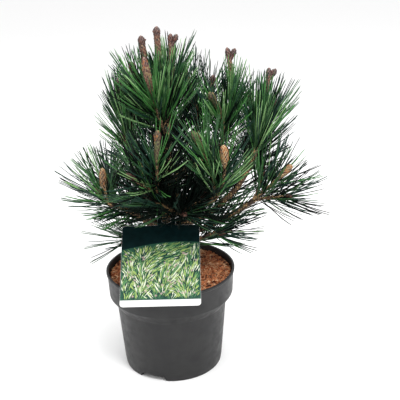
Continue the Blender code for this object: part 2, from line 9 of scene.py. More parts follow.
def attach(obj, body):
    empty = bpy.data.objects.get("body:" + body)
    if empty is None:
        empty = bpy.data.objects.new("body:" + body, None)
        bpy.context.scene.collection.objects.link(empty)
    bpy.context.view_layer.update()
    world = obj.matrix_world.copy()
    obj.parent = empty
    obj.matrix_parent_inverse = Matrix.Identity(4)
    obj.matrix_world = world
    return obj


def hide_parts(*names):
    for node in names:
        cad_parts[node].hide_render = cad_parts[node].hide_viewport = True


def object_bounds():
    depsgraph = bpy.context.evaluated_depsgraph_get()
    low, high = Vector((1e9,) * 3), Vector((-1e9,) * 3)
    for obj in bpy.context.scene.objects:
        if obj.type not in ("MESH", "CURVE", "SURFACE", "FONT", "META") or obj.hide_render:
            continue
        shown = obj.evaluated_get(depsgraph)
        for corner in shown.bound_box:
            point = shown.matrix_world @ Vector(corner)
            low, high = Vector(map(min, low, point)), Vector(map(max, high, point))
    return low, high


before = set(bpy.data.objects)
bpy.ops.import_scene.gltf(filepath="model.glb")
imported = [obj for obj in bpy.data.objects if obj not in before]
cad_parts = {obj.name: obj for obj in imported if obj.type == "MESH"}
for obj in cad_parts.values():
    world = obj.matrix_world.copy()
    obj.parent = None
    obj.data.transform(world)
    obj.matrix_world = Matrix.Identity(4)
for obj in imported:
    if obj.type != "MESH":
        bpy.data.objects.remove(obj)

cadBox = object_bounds()
up = np.array((0.0, 0.0, 1.0))
goldenTurn = math.radians(137.5)
# a direction that no limb follows, which spirals start from
askew = np.array((0.31, 0.17, 0.05))
# what the solids leave between two parts that would touch
clearGap = 0.0003


# Small helpers

def linear(hexColour):
    parts = [int(hexColour[i:i + 2], 16) / 255 for i in (1, 3, 5)]
    return [c / 12.92 if c <= 0.04045 else ((c + 0.055) / 1.055) ** 2.4 for c in parts] + [1.0]


def addNode(tree, kind, settings=None, links=None):
    node = tree.nodes.new(kind)
    for name, value in (settings or {}).items():
        node.inputs[name].default_value = value
    for name, source in (links or {}).items():
        tree.links.new(source, node.inputs[name])
    return node


def newFinish(name, roughness, coat, specular):
    made = bpy.data.materials.new(name)
    made.use_nodes = True
    shader = made.node_tree.nodes["Principled BSDF"]
    shader.inputs["Roughness"].default_value = roughness
    shader.inputs["Specular IOR Level"].default_value = specular
    shader.inputs["Coat Weight"].default_value = coat
    return made, shader


def mottled(name, dark, pale, patchMm, roughness, reliefMm=0.0, grainMm=1.0, coat=0.0, specular=0.5):
    made, shader = newFinish(name, roughness, coat, specular)
    tree = made.node_tree
    place = addNode(tree, "ShaderNodeTexCoord").outputs["Object"]
    patches = addNode(tree, "ShaderNodeTexNoise", {"Scale": 1000 / patchMm, "Detail": 4.0}, {"Vector": place})
    ramp = addNode(tree, "ShaderNodeValToRGB", links={"Fac": patches.outputs["Fac"]})
    for element, position, colour in zip(ramp.color_ramp.elements, (0.35, 0.65), (dark, pale)):
        element.position = position
        element.color = linear(colour)
    tree.links.new(ramp.outputs["Color"], shader.inputs["Base Color"])
    if reliefMm:
        grain = addNode(tree, "ShaderNodeTexNoise", {"Scale": 1000 / grainMm, "Detail": 3.0},
                        {"Vector": place})
        bump = addNode(tree, "ShaderNodeBump", {"Strength": 1.0, "Distance": reliefMm / 1000},
                       {"Height": grain.outputs["Fac"]})
        tree.links.new(bump.outputs["Normal"], shader.inputs["Normal"])
    return made


def mottledSet(patchMm, rows, **more):
    # rows of name, dark, pale and roughness
    return [mottled(name, dark, pale, patchMm, roughness, **more) for name, dark, pale, roughness in rows]


def plain(name, colour, roughness, coat=0.0, specular=0.5):
    made, shader = newFinish(name, roughness, coat, specular)
    shader.inputs["Base Color"].default_value = linear(colour)
    return made


def placed(name, data):
    made = bpy.data.objects.new(name, data)
    bpy.context.scene.collection.objects.link(made)
    return made


def newPiece(name, mesh, materials, nodes=()):
    piece = placed(name, mesh)
    for material in materials:
        mesh.materials.append(material)
    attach(piece, "root")
    if nodes:
        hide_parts(*nodes)
    return piece


def meshOf(bm, name, smooth=True):
    bmesh.ops.recalc_face_normals(bm, faces=bm.faces)
    mesh = bpy.data.meshes.new(name)
    bm.to_mesh(mesh)
    bm.free()
    for polygon in mesh.polygons:
        polygon.use_smooth = smooth
    return mesh


def joined(name, parts):
    bm = bmesh.new()
    for mesh in parts:
        bm.from_mesh(mesh)
        bpy.data.meshes.remove(mesh)
    mesh = bpy.data.meshes.new(name)
    bm.to_mesh(mesh)
    bm.free()
    return mesh


def manyOf(name, points, pattern, tints, smooth):
    # points has a row of corners for each copy, pattern is one copy's triangles, and tints has one for each
    count, size = points.shape[:2]
    corners = np.array(pattern)[None] + size * np.arange(count)[:, None, None]
    faceCount = count * len(pattern)
    mesh = bpy.data.meshes.new(name)
    mesh.vertices.add(count * size)
    mesh.vertices.foreach_set("co", points.astype(np.float32).ravel())
    mesh.loops.add(faceCount * 3)
    mesh.loops.foreach_set("vertex_index", corners.astype(np.int32).ravel())
    mesh.polygons.add(faceCount)
    mesh.polygons.foreach_set("loop_start", np.arange(0, faceCount * 3, 3, dtype=np.int32))
    mesh.polygons.foreach_set("material_index", np.repeat(tints, len(pattern)).astype(np.int32))
    mesh.polygons.foreach_set("use_smooth", np.full(faceCount, smooth))
    mesh.update(calc_edges=True)
    mesh.validate()
    return mesh


def unit(vectors):
    return vectors / np.maximum(np.linalg.norm(vectors, axis=-1, keepdims=True), 1e-9)


def bendAt(start, middle, end, share):
    return start * (1 - share) ** 2 + middle * 2 * share * (1 - share) + end * share * share


def levelSide(along):
    # a way across each of these, as level as can be
    return unit(np.cross(along, up + np.array((0.13, 0.07, 0.0))))


def spiralled(aim, turn):
    # for each place on a limb, the way out from it at its turn, and the way across
    side = unit(np.cross(aim, askew + up * 0.02))
    out = side * np.cos(turn)[:, None] + np.cross(aim, side) * np.sin(turn)[:, None]
    return out, np.cross(aim, out)


def only(kind, parts):
    return [part for part in parts if isinstance(part, kind)]


def polar(radius, turn, height):
    return Vector((radius * math.cos(turn), radius * math.sin(turn), height))


# Camera and studio

camera = {"place": (0.0537, -1.189, 0.748), "tilt": 69.24, "roll": -1.40, "lens": 68.5}


def buildCamera():
    lens = bpy.data.cameras.new("camera")
    lens.sensor_fit = "HORIZONTAL"
    lens.lens = camera["lens"]
    made = placed("camera", lens)
    tilt = Matrix.Rotation(math.radians(camera["tilt"]), 4, "X")
    roll = Matrix.Rotation(math.radians(camera["roll"]), 4, "Z")
    made.matrix_world = Matrix.Translation(camera["place"]) @ (tilt @ roll)
    bpy.context.scene.camera = made


studio = {
    "world": 0.98, "floorColour": "#fbfbfb", "floorSize": 40.0,
    # what the lamps face, then name, place, size across and power of each soft lamp
    "facing": (0, 0, 0.3), "lamps": (
        ("key", (0.8, -1.3, 2.0), 0.8, 34.0),
        ("fill", (-1.5, -0.9, 1.3), 1.6, 6.0),
        ("top", (-0.1, 0.2, 2.3), 1.2, 20.0),
    ),
}


def buildStudio():
    world = bpy.data.worlds.new("studio")
    world.use_nodes = True
    background = world.node_tree.nodes["Background"]
    background.inputs["Color"].default_value = (1, 1, 1, 1)
    background.inputs["Strength"].default_value = studio["world"]
    bpy.context.scene.world = world
    for name, place, size, power in studio["lamps"]:
        light = bpy.data.lights.new(name, "AREA")
        light.shape = "DISK"
        light.size = size
        light.energy = power
        lamp = placed(name, light)
        lamp.location = place
        lamp.rotation_euler = (Vector(studio["facing"]) - Vector(place)).to_track_quat("-Z", "Y").to_euler()
    bm = bmesh.new()
    bmesh.ops.create_grid(bm, x_segments=1, y_segments=1, size=studio["floorSize"])
    floor = placed("floor", meshOf(bm, "floor", smooth=False))
    floor.data.materials.append(plain("painted_floor", studio["floorColour"], 0.9))
    bpy.context.scene.view_settings.view_transform = "Standard"


# The pot: recycled polypropylene, injection moulded, so satin

pot = {
    "height": 0.177, "wall": 0.0022, "floor": 0.0030, "lip": 0.1105, "lipFoot": 0.0042, "lipSlope": 0.0010,
    "collarTop": 0.1088, "collarFoot": 0.1070, "collarFootHeight": 0.134,
    "bodyTop": 0.0948, "bodyTopHeight": 0.1165, "bodyFoot": 0.0862, "footRise": 0.0106, "base": 0.0846,
    # how much higher the wall's steps are inside, and how far its foot is set in there
    "innerStep": 0.001, "innerFoot": 0.0005,
    # drain notches, with places and spans in degrees, the roof over each, and where what cuts them starts
    "notches": (-113.8, 6.2, 126.2), "notchSpan": 38.0, "notchHeight": 0.0090, "notchSlope": 0.30,
    "notchInner": 0.056, "roof": 0.0020, "roofSpan": 41.0, "roofInset": 0.0002, "under": -0.01,
    "drain": 0.005, "drainSides": 20, "drainDepth": 0.02, "steps": 144, "fillet": 0.0012, "sharp": 35,
}


def filleted(profile, radius, steps=3):
    points = [profile[0]]
    for before, here, after in zip(profile, profile[1:], profile[2:]):
        before, here, after = Vector(before), Vector(here), Vector(after)
        room = min(radius, (before - here).length * 0.45, (after - here).length * 0.45)
        start = here + (before - here).normalized() * room
        end = here + (after - here).normalized() * room
        for step in range(steps + 1):
            t = step / steps
            points.append(tuple(start * (1 - t) ** 2 + here * (2 * t * (1 - t)) + end * t * t))
    return points + [profile[-1]]


def turned(profile, steps):
    bm = bmesh.new()
    ring = [bm.verts.new((radius, 0, height)) for radius, height in profile]
    for lower, upper in zip(ring, ring[1:]):
        bm.edges.new((lower, upper))
    bmesh.ops.spin(bm, geom=bm.verts[:] + bm.edges[:], cent=(0, 0, 0), axis=(0, 0, 1), dvec=(0, 0, 0),
                   angle=2 * math.pi, steps=steps, use_merge=True)
    bmesh.ops.remove_doubles(bm, verts=bm.verts, dist=1e-6)
    return bm


def sector(inner, outer, low, high, azimuth, span, slope=0.0):
    bm = bmesh.new()
    half = math.radians(span) / 2
    corners = [bm.verts.new((r, 0, z)) for r, z in ((inner, low), (outer, low), (outer, high), (inner, high))]
    face = bm.faces.new(corners)
    bmesh.ops.rotate(bm, verts=bm.verts, matrix=Matrix.Rotation(-half, 3, "Z"))
    bmesh.ops.spin(bm, geom=[face, *face.edges, *face.verts], cent=(0, 0, 0), axis=(0, 0, 1), dvec=(0, 0, 0),
                   angle=2 * half, steps=10)
    bmesh.ops.remove_doubles(bm, verts=bm.verts, dist=1e-6)
    for vert in bm.verts:
        kept = 1 - slope * (vert.co.z > (low + high) / 2)
        turn = math.radians(azimuth) + math.atan2(vert.co.y, vert.co.x) * kept
        vert.co = polar(math.hypot(vert.co.x, vert.co.y), turn, vert.co.z)
    inside = [face for face in bm.faces if all(len(edge.link_faces) > 2 for edge in face.edges)]
    bmesh.ops.delete(bm, geom=inside, context="FACES")
    bmesh.ops.triangulate(bm, faces=bm.faces)
    return meshOf(bm, "sector", smooth=False)


def cutWith(thing, mesh, operation):
    other = placed("cutter", mesh)
    modifier = thing.modifiers.new("cut", "BOOLEAN")
    modifier.operation = operation
    modifier.solver = "EXACT"
    modifier.object = other
    result = bpy.data.meshes.new_from_object(thing.evaluated_get(bpy.context.evaluated_depsgraph_get()))
    thing.modifiers.clear()
    thing.data = result
    bpy.data.objects.remove(other)


def innerWall():
    wall, step = pot["wall"], pot["innerStep"]
    return [(0, pot["floor"]), (pot["bodyFoot"] - wall - pot["innerFoot"], pot["floor"]),
            (pot["bodyTop"] - wall, pot["bodyTopHeight"] + step),
            (pot["collarFoot"] - wall, pot["collarFootHeight"] + step)]


def buildPot():
    height, lip, inner, base = pot["height"], pot["lip"], pot["notchInner"], pot["base"]
    outside = [(0, 0), (base, 0), (pot["bodyFoot"], pot["footRise"]),
               (pot["bodyTop"], pot["bodyTopHeight"]), (pot["collarFoot"], pot["collarFootHeight"]),
               (pot["collarTop"], height - pot["lipFoot"] - pot["lipSlope"]),
               (lip, height - pot["lipFoot"]), (lip, height), (pot["collarTop"] - pot["wall"], height)]
    bm = turned(filleted(outside + innerWall()[::-1], pot["fillet"]), pot["steps"])
    made = newPiece("nursery_pot", meshOf(bm, "nursery_pot"), [], ["pot"])
    for azimuth in pot["notches"]:
        roof = sector(inner - pot["roof"], base - pot["roofInset"], pot["floor"] / 2,
                      pot["notchHeight"] + pot["roof"], azimuth, pot["roofSpan"])
        cutWith(made, roof, "UNION")
    for azimuth in pot["notches"]:
        notch = sector(inner, lip, pot["under"], pot["notchHeight"], azimuth, pot["notchSpan"],
                       pot["notchSlope"])
        cutWith(made, notch, "DIFFERENCE")
        hole = bmesh.new()
        bmesh.ops.create_cone(hole, cap_ends=True, segments=pot["drainSides"], radius1=pot["drain"],
                              radius2=pot["drain"], depth=pot["drainDepth"])
        bmesh.ops.translate(hole, verts=hole.verts,
                            vec=polar((inner + base) / 2, math.radians(azimuth), pot["notchHeight"]))
        cutWith(made, meshOf(hole, "hole", smooth=False), "DIFFERENCE")
    made.data.materials.append(potPlastic())
    made.data.set_sharp_from_angle(angle=math.radians(pot["sharp"]))
    print("pot", len(made.data.polygons))


def potPlastic():
    # recycled plastic: a charcoal grey, clouded a little by mixed regrind, with a fine spark-eroded grain
    made = mottled("recycled_polypropylene", "#1f1f20", "#252525", 34, 0.46, reliefMm=0.05, grainMm=0.9,
                   specular=0.3)
    tree = made.node_tree
    place = addNode(tree, "ShaderNodeTexCoord").outputs["Object"]
    # scuffs from handling, 12 mm patches, that only dull the gloss
    scuffs = addNode(tree, "ShaderNodeTexNoise", {"Scale": 1000 / 12, "Detail": 6.0}, {"Vector": place})
    gloss = addNode(tree, "ShaderNodeMapRange",
                    {"From Min": 0.35, "From Max": 0.7, "To Min": 0.40, "To Max": 0.58},
                    {"Value": scuffs.outputs["Fac"]})
    tree.links.new(gloss.outputs["Result"], tree.nodes["Principled BSDF"].inputs["Roughness"])
    return made


# The potting mix: composted bark and coir, so a dark bed with orange-brown chips and fibres on it

mix = {
    "chips": 4600, "fibres": 2600, "reach": 0.1040, "trunkRoom": 0.013, "bedDrop": 0.0012, "seed": 7,
    # the solids' levels, from the middle out
    "radii": (0.0, 0.045, 0.088, 0.104), "levels": (0.1680, 0.1680, 0.1674, 0.1656),
    # the bed's segments, its lumps as scale and height, how far down and how near the rim they go, and the
    # degrees left free over each drain notch
    "segments": 120, "rings": 41, "lumps": ((130, 0.0014), (420, 0.0008)), "lumpDepth": 0.003,
    "lumpRim": 0.001, "pocketSpan": 41.6,
    # a chip's half length, width and height, its lift and tilt, how far out its corners are as a share of
    # these, and the shares of the four finishes
    "chipSides": ((0.0018, 0.0070), (0.0008, 0.0025), (0.0004, 0.0012)), "chipLift": (-0.0003, 0.0019),
    "chipTilt": 0.35, "chipCorners": (0.65, 1.15), "chipShares": (0.40, 0.27, 0.13, 0.20),
    "fibreLength": (0.005, 0.016), "fibreRadius": 0.00022, "fibreTilt": (0.0, 0.35), "fibreLift": 0.0006,
    "fibreRoom": 0.006, "fibreBow": 0.2,
}


def mixLevel(reach):
    return np.interp(reach, mix["radii"], mix["levels"]) - mix["bedDrop"]


def strewn(rng, outer, count):
    turn = rng.uniform(0, 2 * math.pi, count)
    return turn, np.sqrt(rng.uniform(mix["trunkRoom"] ** 2, outer ** 2, count))


def onMix(turn, reach, lift):
    return np.stack([reach * np.cos(turn), reach * np.sin(turn), mixLevel(reach) + lift], -1)


def buildMix(bedMaterial, chipMaterials):
    wall = [(max(r - clearGap, 0), z + clearGap) for r, z in innerWall()]
    radii = np.linspace(mix["reach"], 0, mix["rings"])
    bm = turned(wall + list(zip(radii, mixLevel(radii))), mix["segments"])
    lowest, widest = mix["levels"][-1] - mix["lumpDepth"], mix["reach"] - mix["lumpRim"]
    for vert in bm.verts:
        if vert.co.z > lowest and math.hypot(vert.co.x, vert.co.y) < widest:
            vert.co.z += sum(noise.noise(vert.co * scale) * height for scale, height in mix["lumps"])
    bed = newPiece("mix_bed", meshOf(bm, "mix_bed"), [bedMaterial], ["root_ball"])
    for azimuth in pot["notches"]:
        # the bed leaves room for the pocket over each drain notch
        space = sector(pot["notchInner"] - pot["roof"] - clearGap, pot["lip"], pot["under"],
                       pot["notchHeight"] + pot["roof"] + clearGap, azimuth, mix["pocketSpan"])
        cutWith(bed, space, "DIFFERENCE")
    rng = np.random.default_rng(mix["seed"])
    count = mix["chips"]
    turn, reach = strewn(rng, mix["reach"], count)
    lift = rng.uniform(*mix["chipLift"], count)
    size = np.stack([rng.uniform(*side, count) for side in mix["chipSides"]], -1)
    reach = np.minimum(reach, mix["reach"] - size[:, 0])
    centres = onMix(turn, reach, lift)
    spin = rng.uniform(0, 2 * math.pi, count)
    tilt = rng.normal(0, mix["chipTilt"], (count, 2))
    along = unit(np.stack([np.cos(spin), np.sin(spin), tilt[:, 0]], -1))
    across = unit(np.cross(np.stack([tilt[:, 1], np.zeros(count), np.ones(count)], -1), along))
    out = np.cross(along, across)
    signs = np.array([(x, y, z) for x in (-1, 1) for y in (-1, 1) for z in (-1, 1)], float)
    jitter = signs[None] * rng.uniform(*mix["chipCorners"], (count, 8, 3)) * size[:, None]
    points = (centres[:, None] + jitter[..., :1] * along[:, None] + jitter[..., 1:2] * across[:, None]
              + jitter[..., 2:] * out[:, None])
    box = ((0, 1, 3), (0, 3, 2), (4, 6, 7), (4, 7, 5), (0, 4, 5), (0, 5, 1), (2, 3, 7), (2, 7, 6),
           (0, 2, 6), (0, 6, 4), (1, 5, 7), (1, 7, 3))
    tints = rng.choice(len(chipMaterials), count, p=mix["chipShares"])
    mesh = manyOf("bark_chips", points, box, tints, False)
    newPiece("bark_chips", mesh, chipMaterials)
    count = mix["fibres"]
    turn, reach = strewn(rng, mix["reach"] - mix["fibreRoom"], count)
    roots = onMix(turn, reach, mix["fibreLift"])
    spin = rng.uniform(0, 2 * math.pi, count)
    lean = np.stack([np.cos(spin), np.sin(spin), rng.uniform(*mix["fibreTilt"], count)], -1)
    length = rng.uniform(*mix["fibreLength"], count)[:, None]
    tips = roots + unit(lean) * length
    far = np.linalg.norm(tips[:, :2], axis=1)
    tips[:, :2] *= np.minimum(1, mix["reach"] / far)[:, None]
    mids = (roots + tips) / 2 + up * length * mix["fibreBow"]
    fibres = strands("coir_fibres", roots, mids, tips, mix["fibreRadius"], rng.integers(0, 2, count), 1.0)
    newPiece("coir_fibres", fibres, chipMaterials[1:3])
    print("potting mix", len(mesh.polygons))


# Needles and fibres share one maker: a three-sided blade along a bend, closed at both ends

bladeRings = ((0.0, 0.75), (0.25, 1.0), (0.7, 0.98), (0.94, 0.72))


def strands(name, roots, mids, tips, radius, tints, flatness):
    along = unit(tips - roots)
    side = levelSide(along)
    over = np.cross(side, along)
    spin = np.arange(len(roots))[:, None] * goldenTurn
    side, over = side * np.cos(spin) + over * np.sin(spin), over * np.cos(spin) - side * np.sin(spin)
    rows = []
    for share, swell in bladeRings:
        centre = bendAt(roots, mids, tips, share)
        for turn in (0.5, 1.167, 1.833):
            angle = turn * math.pi
            out = side * math.cos(angle) + over * math.sin(angle) * flatness
            rows.append(centre + out * radius * swell)
    rows.append(tips)
    faces = [(0, 2, 1)]
    for ring in range(3):
        for step in range(3):
            a, b = ring * 3 + step, ring * 3 + (step + 1) % 3
            faces += [(a, b, b + 3), (a, b + 3, a + 3)]
    faces += [(9, 10, 12), (10, 11, 12), (11, 9, 12)]
    return manyOf(name, np.stack(rows, 1), faces, tints, True)


# Scales of bark and bud are flattened eight-sided gems laid on a limb by the golden angle

def gems(centres, along, across, out, halfLength, halfWidth, rise, sink, lean=0.0):
    reach, side = along * halfLength, across * halfWidth
    return np.stack([centres - reach, centres + side, centres + reach + out * lean, centres - side,
                     centres + out * rise + reach * 0.15, centres - out * sink], 1)


gemFaces = ((0, 1, 4), (1, 2, 4), (2, 3, 4), (3, 0, 4), (1, 0, 5), (2, 1, 5), (3, 2, 5), (0, 3, 5))


def gemMesh(name, pointSets, tintSets):
    return manyOf(name, np.concatenate(pointSets), gemFaces, np.concatenate(tintSets), False)


def onBend(bend, share):
    return bendAt(*bend, np.asarray(share, float)[..., None])


def slopeOf(bend, share):
    share = np.asarray(share, float)[..., None]
    start, middle, end = bend
    return unit((middle - start) * (1 - share) + (end - middle) * share + 1e-9)


def lengthOf(bend):
    points = onBend(bend, np.linspace(0, 1, 12))
    return float(np.linalg.norm(np.diff(points, axis=0), axis=1).sum())


def scaleField(bend, low, high, radiusAt, cell, halfLength, halfWidth, rise, turnStart, lean=0.0,
               inset=0.00035, drawn=False):
    # one gem for each cell of the limb's surface, climbing by the golden angle
    span = lengthOf(bend) * (high - low)
    count = max(int(2 * math.pi * radiusAt((low + high) / 2) * span / cell), 4)
    share = low + (high - low) * (np.arange(count) + 0.5) / count
    aim = slopeOf(bend, share)
    out, across = spiralled(aim, turnStart + goldenTurn * np.arange(count))
    radius = np.array([radiusAt(s) for s in share])[:, None]
    centre = onBend(bend, share) + out * (radius - inset)
    # each scale lies along the surface, so it turns in where the limb narrows
    step = 0.004
    taper = np.array([radiusAt(s + step) - radiusAt(s - step) for s in share])[:, None]
    taper = taper / (2 * step) / lengthOf(bend)
    aim, out = unit(aim + out * taper), unit(out - aim * taper)
    if drawn:
        # scales are smaller where a bud draws in to its tip
        fit = np.clip(radius / radius.max() * 1.3, 0.3, 1)
        halfLength, halfWidth, lean = halfLength * fit, halfWidth * fit, lean * fit
    return gems(centre, aim, across, out, halfLength, halfWidth, rise + inset, 0.001, lean)


# The plant's limbs, from the same named sizes as the solids

trunk = {"foot": 0.1683, "top": 0.402, "flare": 0.0150, "flareHeight": 0.020, "radius": 0.0088, "tip": 0.0048,
         "flareFall": 2.2, "sway": 0.004, "swayTurns": 1.5, "sides": 22, "rings": 70, "rough": 0.0007}
# boughs: a long one is stouter; whorl is how far past a limb's tip its shoots part, and the bends and bows
# say how far and which way boughs and shoots curve
limb = {"root": 0.0043, "tip": 0.0034, "stout": 1.2, "stoutFrom": 0.15, "sides": 12, "boughBend": 0.6,
        "whorl": 0.008, "shootBend": 0.45, "shootBow": 1.0, "leaderBow": -0.4, "ringGap": 0.004,
        "rough": 0.0003, "starts": 0.006, "platesStart": 0.012}

# Each bough: where it leaves the trunk, its aim (azimuth, lean), its tip, then its shoots as the place of
# the candle's tip, the candle's length, the buds on it and the spread of its needles in degrees
boughs = {
    "left_upper": (0.321, (166, 62), (-0.050, 0.011, 0.370), (
        ((-0.074, 0.034, 0.499), 0.056, 1, 16), ((-0.066, -0.030, 0.418), 0.026, 1, 18))),
    "left_low": (0.240, (192, 50), (-0.082, -0.044, 0.306), (
        ((-0.100, -0.040, 0.371), 0.034, 1, 50), ((-0.112, -0.053, 0.343), 0.012, 1, 38))),
    "left_base": (0.207, (178, 72), (-0.054, 0.002, 0.226), (
        ((-0.082, -0.008, 0.224), 0.012, 1, 24), ((-0.077, 0.034, 0.230), 0.012, 1, 28))),
    "right_upper": (0.331, (4, 62), (0.078, 0.002, 0.378), (
        ((0.102, 0.020, 0.547), 0.080, 2, 18), ((0.071, -0.050, 0.491), 0.044, 1, 34))),
    "right_outer": (0.243, (-8, 72), (0.134, -0.026, 0.362), (
        ((0.168, 0.010, 0.515), 0.080, 2, 20), ((0.136, 0.040, 0.471), 0.036, 1, 26),
        ((0.176, -0.012, 0.470), 0.034, 1, 28))),
    "right_low": (0.222, (8, 74), (0.134, -0.032, 0.302), (
        ((0.202, -0.030, 0.365), 0.026, 1, 44), ((0.200, -0.062, 0.322), 0.010, 1, 40),
        ((0.158, -0.010, 0.362), 0.018, 1, 34))),
    "right_base": (0.207, (-18, 70), (0.060, -0.020, 0.239), (
        ((0.094, -0.040, 0.251), 0.012, 1, 34), ((0.106, -0.004, 0.245), 0.012, 1, 34))),
    "front_left": (0.313, (-118, 62), (-0.014, -0.054, 0.334), (
        ((-0.007, -0.090, 0.445), 0.046, 1, 42), ((-0.058, -0.092, 0.378), 0.016, 1, 46))),
    "front_right": (0.303, (-44, 66), (0.058, -0.048, 0.312), (
        ((0.091, -0.080, 0.416), 0.026, 1, 40), ((0.044, -0.084, 0.441), 0.030, 1, 38))),
    "front_low": (0.289, (-84, 66), (0.010, -0.038, 0.296), (
        ((0.031, -0.084, 0.306), 0.014, 1, 46), ((0.066, -0.060, 0.334), 0.012, 1, 44),
        ((-0.036, -0.072, 0.338), 0.012, 1, 44))),
    "right_back": (0.234, (40, 68), (0.120, 0.050, 0.318), (
        ((0.158, 0.034, 0.390), 0.020, 1, 34), ((0.132, 0.112, 0.374), 0.020, 1, 44))),
    "back_right": (0.302, (54, 60), (0.048, 0.070, 0.362), (
        ((0.082, 0.112, 0.485), 0.034, 1, 38), ((0.030, 0.086, 0.505), 0.036, 1, 36))),
    "back": (0.245, (95, 60), (-0.004, 0.102, 0.328), (
        ((-0.004, 0.172, 0.424), 0.028, 1, 44), ((0.048, 0.130, 0.440), 0.024, 1, 40),
        ((-0.062, 0.132, 0.436), 0.024, 1, 40))),
    "back_left": (0.294, (130, 62), (-0.054, 0.064, 0.352), (
        ((-0.062, 0.104, 0.458), 0.030, 1, 25), ((-0.034, 0.082, 0.500), 0.034, 1, 34))),
    "left_back": (0.232, (146, 70), (-0.090, 0.040, 0.290), (
        ((-0.114, 0.060, 0.326), 0.022, 1, 28), ((-0.098, 0.112, 0.308), 0.018, 1, 32))),
    "back_low": (0.207, (76, 64), (0.040, 0.096, 0.270), (
        ((0.074, 0.164, 0.312), 0.018, 1, 48), ((0.004, 0.164, 0.306), 0.018, 1, 48))),
    "back_base": (0.222, (122, 64), (-0.046, 0.088, 0.270), (
        ((-0.064, 0.152, 0.308), 0.016, 1, 48), ((-0.110, 0.110, 0.292), 0.016, 1, 48))),
}
leaderShoots = (
    ((-0.007, 0.000, 0.585), 0.098, 1, 30), ((-0.031, -0.010, 0.573), 0.094, 1, 32),
    ((0.014, 0.010, 0.572), 0.088, 2, 30), ((-0.025, -0.050, 0.547), 0.066, 1, 36),
    ((-0.049, 0.002, 0.531), 0.044, 1, 28), ((0.016, 0.050, 0.550), 0.050, 1, 34),
)


def aimed(azimuth, lean):
    turn, lean = math.radians(azimuth), math.radians(lean)
    return np.array((math.sin(lean) * math.cos(turn), math.sin(lean) * math.sin(turn), math.cos(lean)))


def trunkPoint(height):
    share = (height - trunk["foot"]) / (trunk["top"] - trunk["foot"])
    sway = trunk["sway"] * math.sin(share * math.pi * trunk["swayTurns"])
    return np.array((-sway, sway * share, height))


def trunkRadius(height):
    share = (height - trunk["foot"]) / (trunk["top"] - trunk["foot"])
    fall = math.exp(-(height - trunk["foot"]) / trunk["flareHeight"] * trunk["flareFall"])
    flare = fall * (trunk["flare"] - trunk["radius"])
    return trunk["radius"] + (trunk["tip"] - trunk["radius"]) * share + flare


def boughBend(bough):
    leaves, aim, tip = bough[:3]
    start, end = trunkPoint(leaves), np.array(tip)
    return start, start + aimed(*aim) * np.linalg.norm(end - start) * limb["boughBend"], end


def growShoots(foot, aim, rows, bow):
    # a bough's shoots start between its aim and their own; the leader's start wider, and all bow upright
    whorl = foot + aim * limb["whorl"]
    grown = []
    for tip, candle, buds, spread in rows:
        tip = np.array(tip)
        length = float(np.linalg.norm(tip - whorl))
        towards = (tip - whorl) / length
        bend = (whorl, whorl + unit(towards + aim * bow) * length * limb["shootBend"], tip)
        grown.append({"bend": bend, "bare": 1 - candle / length, "length": length, "candle": candle,
                      "buds": buds, "spread": spread})
    return whorl, grown


def growPlant():
    plant = {}
    top = trunkPoint(trunk["top"])
    aim = unit(top - trunkPoint(trunk["top"] - 0.01))
    shoots = growShoots(top + aim * clearGap, aim, leaderShoots, limb["leaderBow"])
    plant["leader"] = (None, top, aim, *shoots)
    for name, bough in boughs.items():
        bend = boughBend(bough)
        aim = unit(bend[2] - onBend(bend, 5 / 6))
        shoots = growShoots(bend[2] + aim * clearGap, aim, bough[3], limb["shootBow"])
        plant[name] = (bend, bend[2], aim, *shoots)
    return plant


def tube(points, radii, sides, rough=0.0):
    bm = bmesh.new()
    points = [Vector(point) for point in points]
    directions = [(b - a).normalized() for a, b in zip(points, points[1:])]
    directions.append(directions[-1])
    bmesh.ops.create_circle(bm, cap_ends=True, segments=sides, radius=radii[0])
    aim = directions[0].to_track_quat("Z", "Y").to_matrix().to_4x4()
    bmesh.ops.transform(bm, verts=bm.verts, matrix=Matrix.Translation(points[0]) @ aim)
    cap = bm.faces[:]
    for n in range(1, len(points)):
        grown = bmesh.ops.extrude_face_region(bm, geom=cap)["geom"]
        if n > 1:
            bmesh.ops.delete(bm, geom=cap, context="FACES")
        cap, verts = only(bmesh.types.BMFace, grown), only(bmesh.types.BMVert, grown)
        turn = directions[n - 1].rotation_difference(directions[n]).to_matrix().to_4x4()
        move = Matrix.Translation(points[n]) @ turn @ Matrix.Scale(radii[n] / radii[n - 1], 4)
        bmesh.ops.transform(bm, verts=verts, matrix=move @ Matrix.Translation(-points[n - 1]))
    if rough:
        bmesh.ops.recalc_face_normals(bm, faces=bm.faces)
        bm.normal_update()
        # ridges run along the limb, so the noise is finer across it
        stretched = [Vector((vert.co.x * 3, vert.co.y * 3, vert.co.z)) * 170 for vert in bm.verts]
        moves = [vert.normal * noise.noise(place) * rough for vert, place in zip(bm.verts, stretched)]
        for vert, move in zip(bm.verts, moves):
            vert.co += move
    return meshOf(bm, "tube")


def bendTube(bend, low, high, radiusAt, sides, ringGap, rough=0.0):
    rings = max(int(lengthOf(bend) * (high - low) / ringGap), 3)
    shares = np.linspace(low, high, rings + 1)
    return tube(onBend(bend, shares), [radiusAt(share) for share in shares], sides, rough)


# Trunk and boughs: young pine bark, grey-brown, in lozenge plates where old needles have dropped

bark = {"cell": 17e-6, "halfLength": 0.0031, "halfWidth": 0.0019, "rise": 0.0005, "seed": 11,
        # foot, middle, top and span of the trunk's plates, how much larger their cell, length and width are
        # than a bough's, and the shares of the three finishes
        "plated": (0.17, 0.285, 0.40, 0.23), "onTrunk": (1.5, 1.3, 1.15), "shares": (0.30, 0.45, 0.25)}


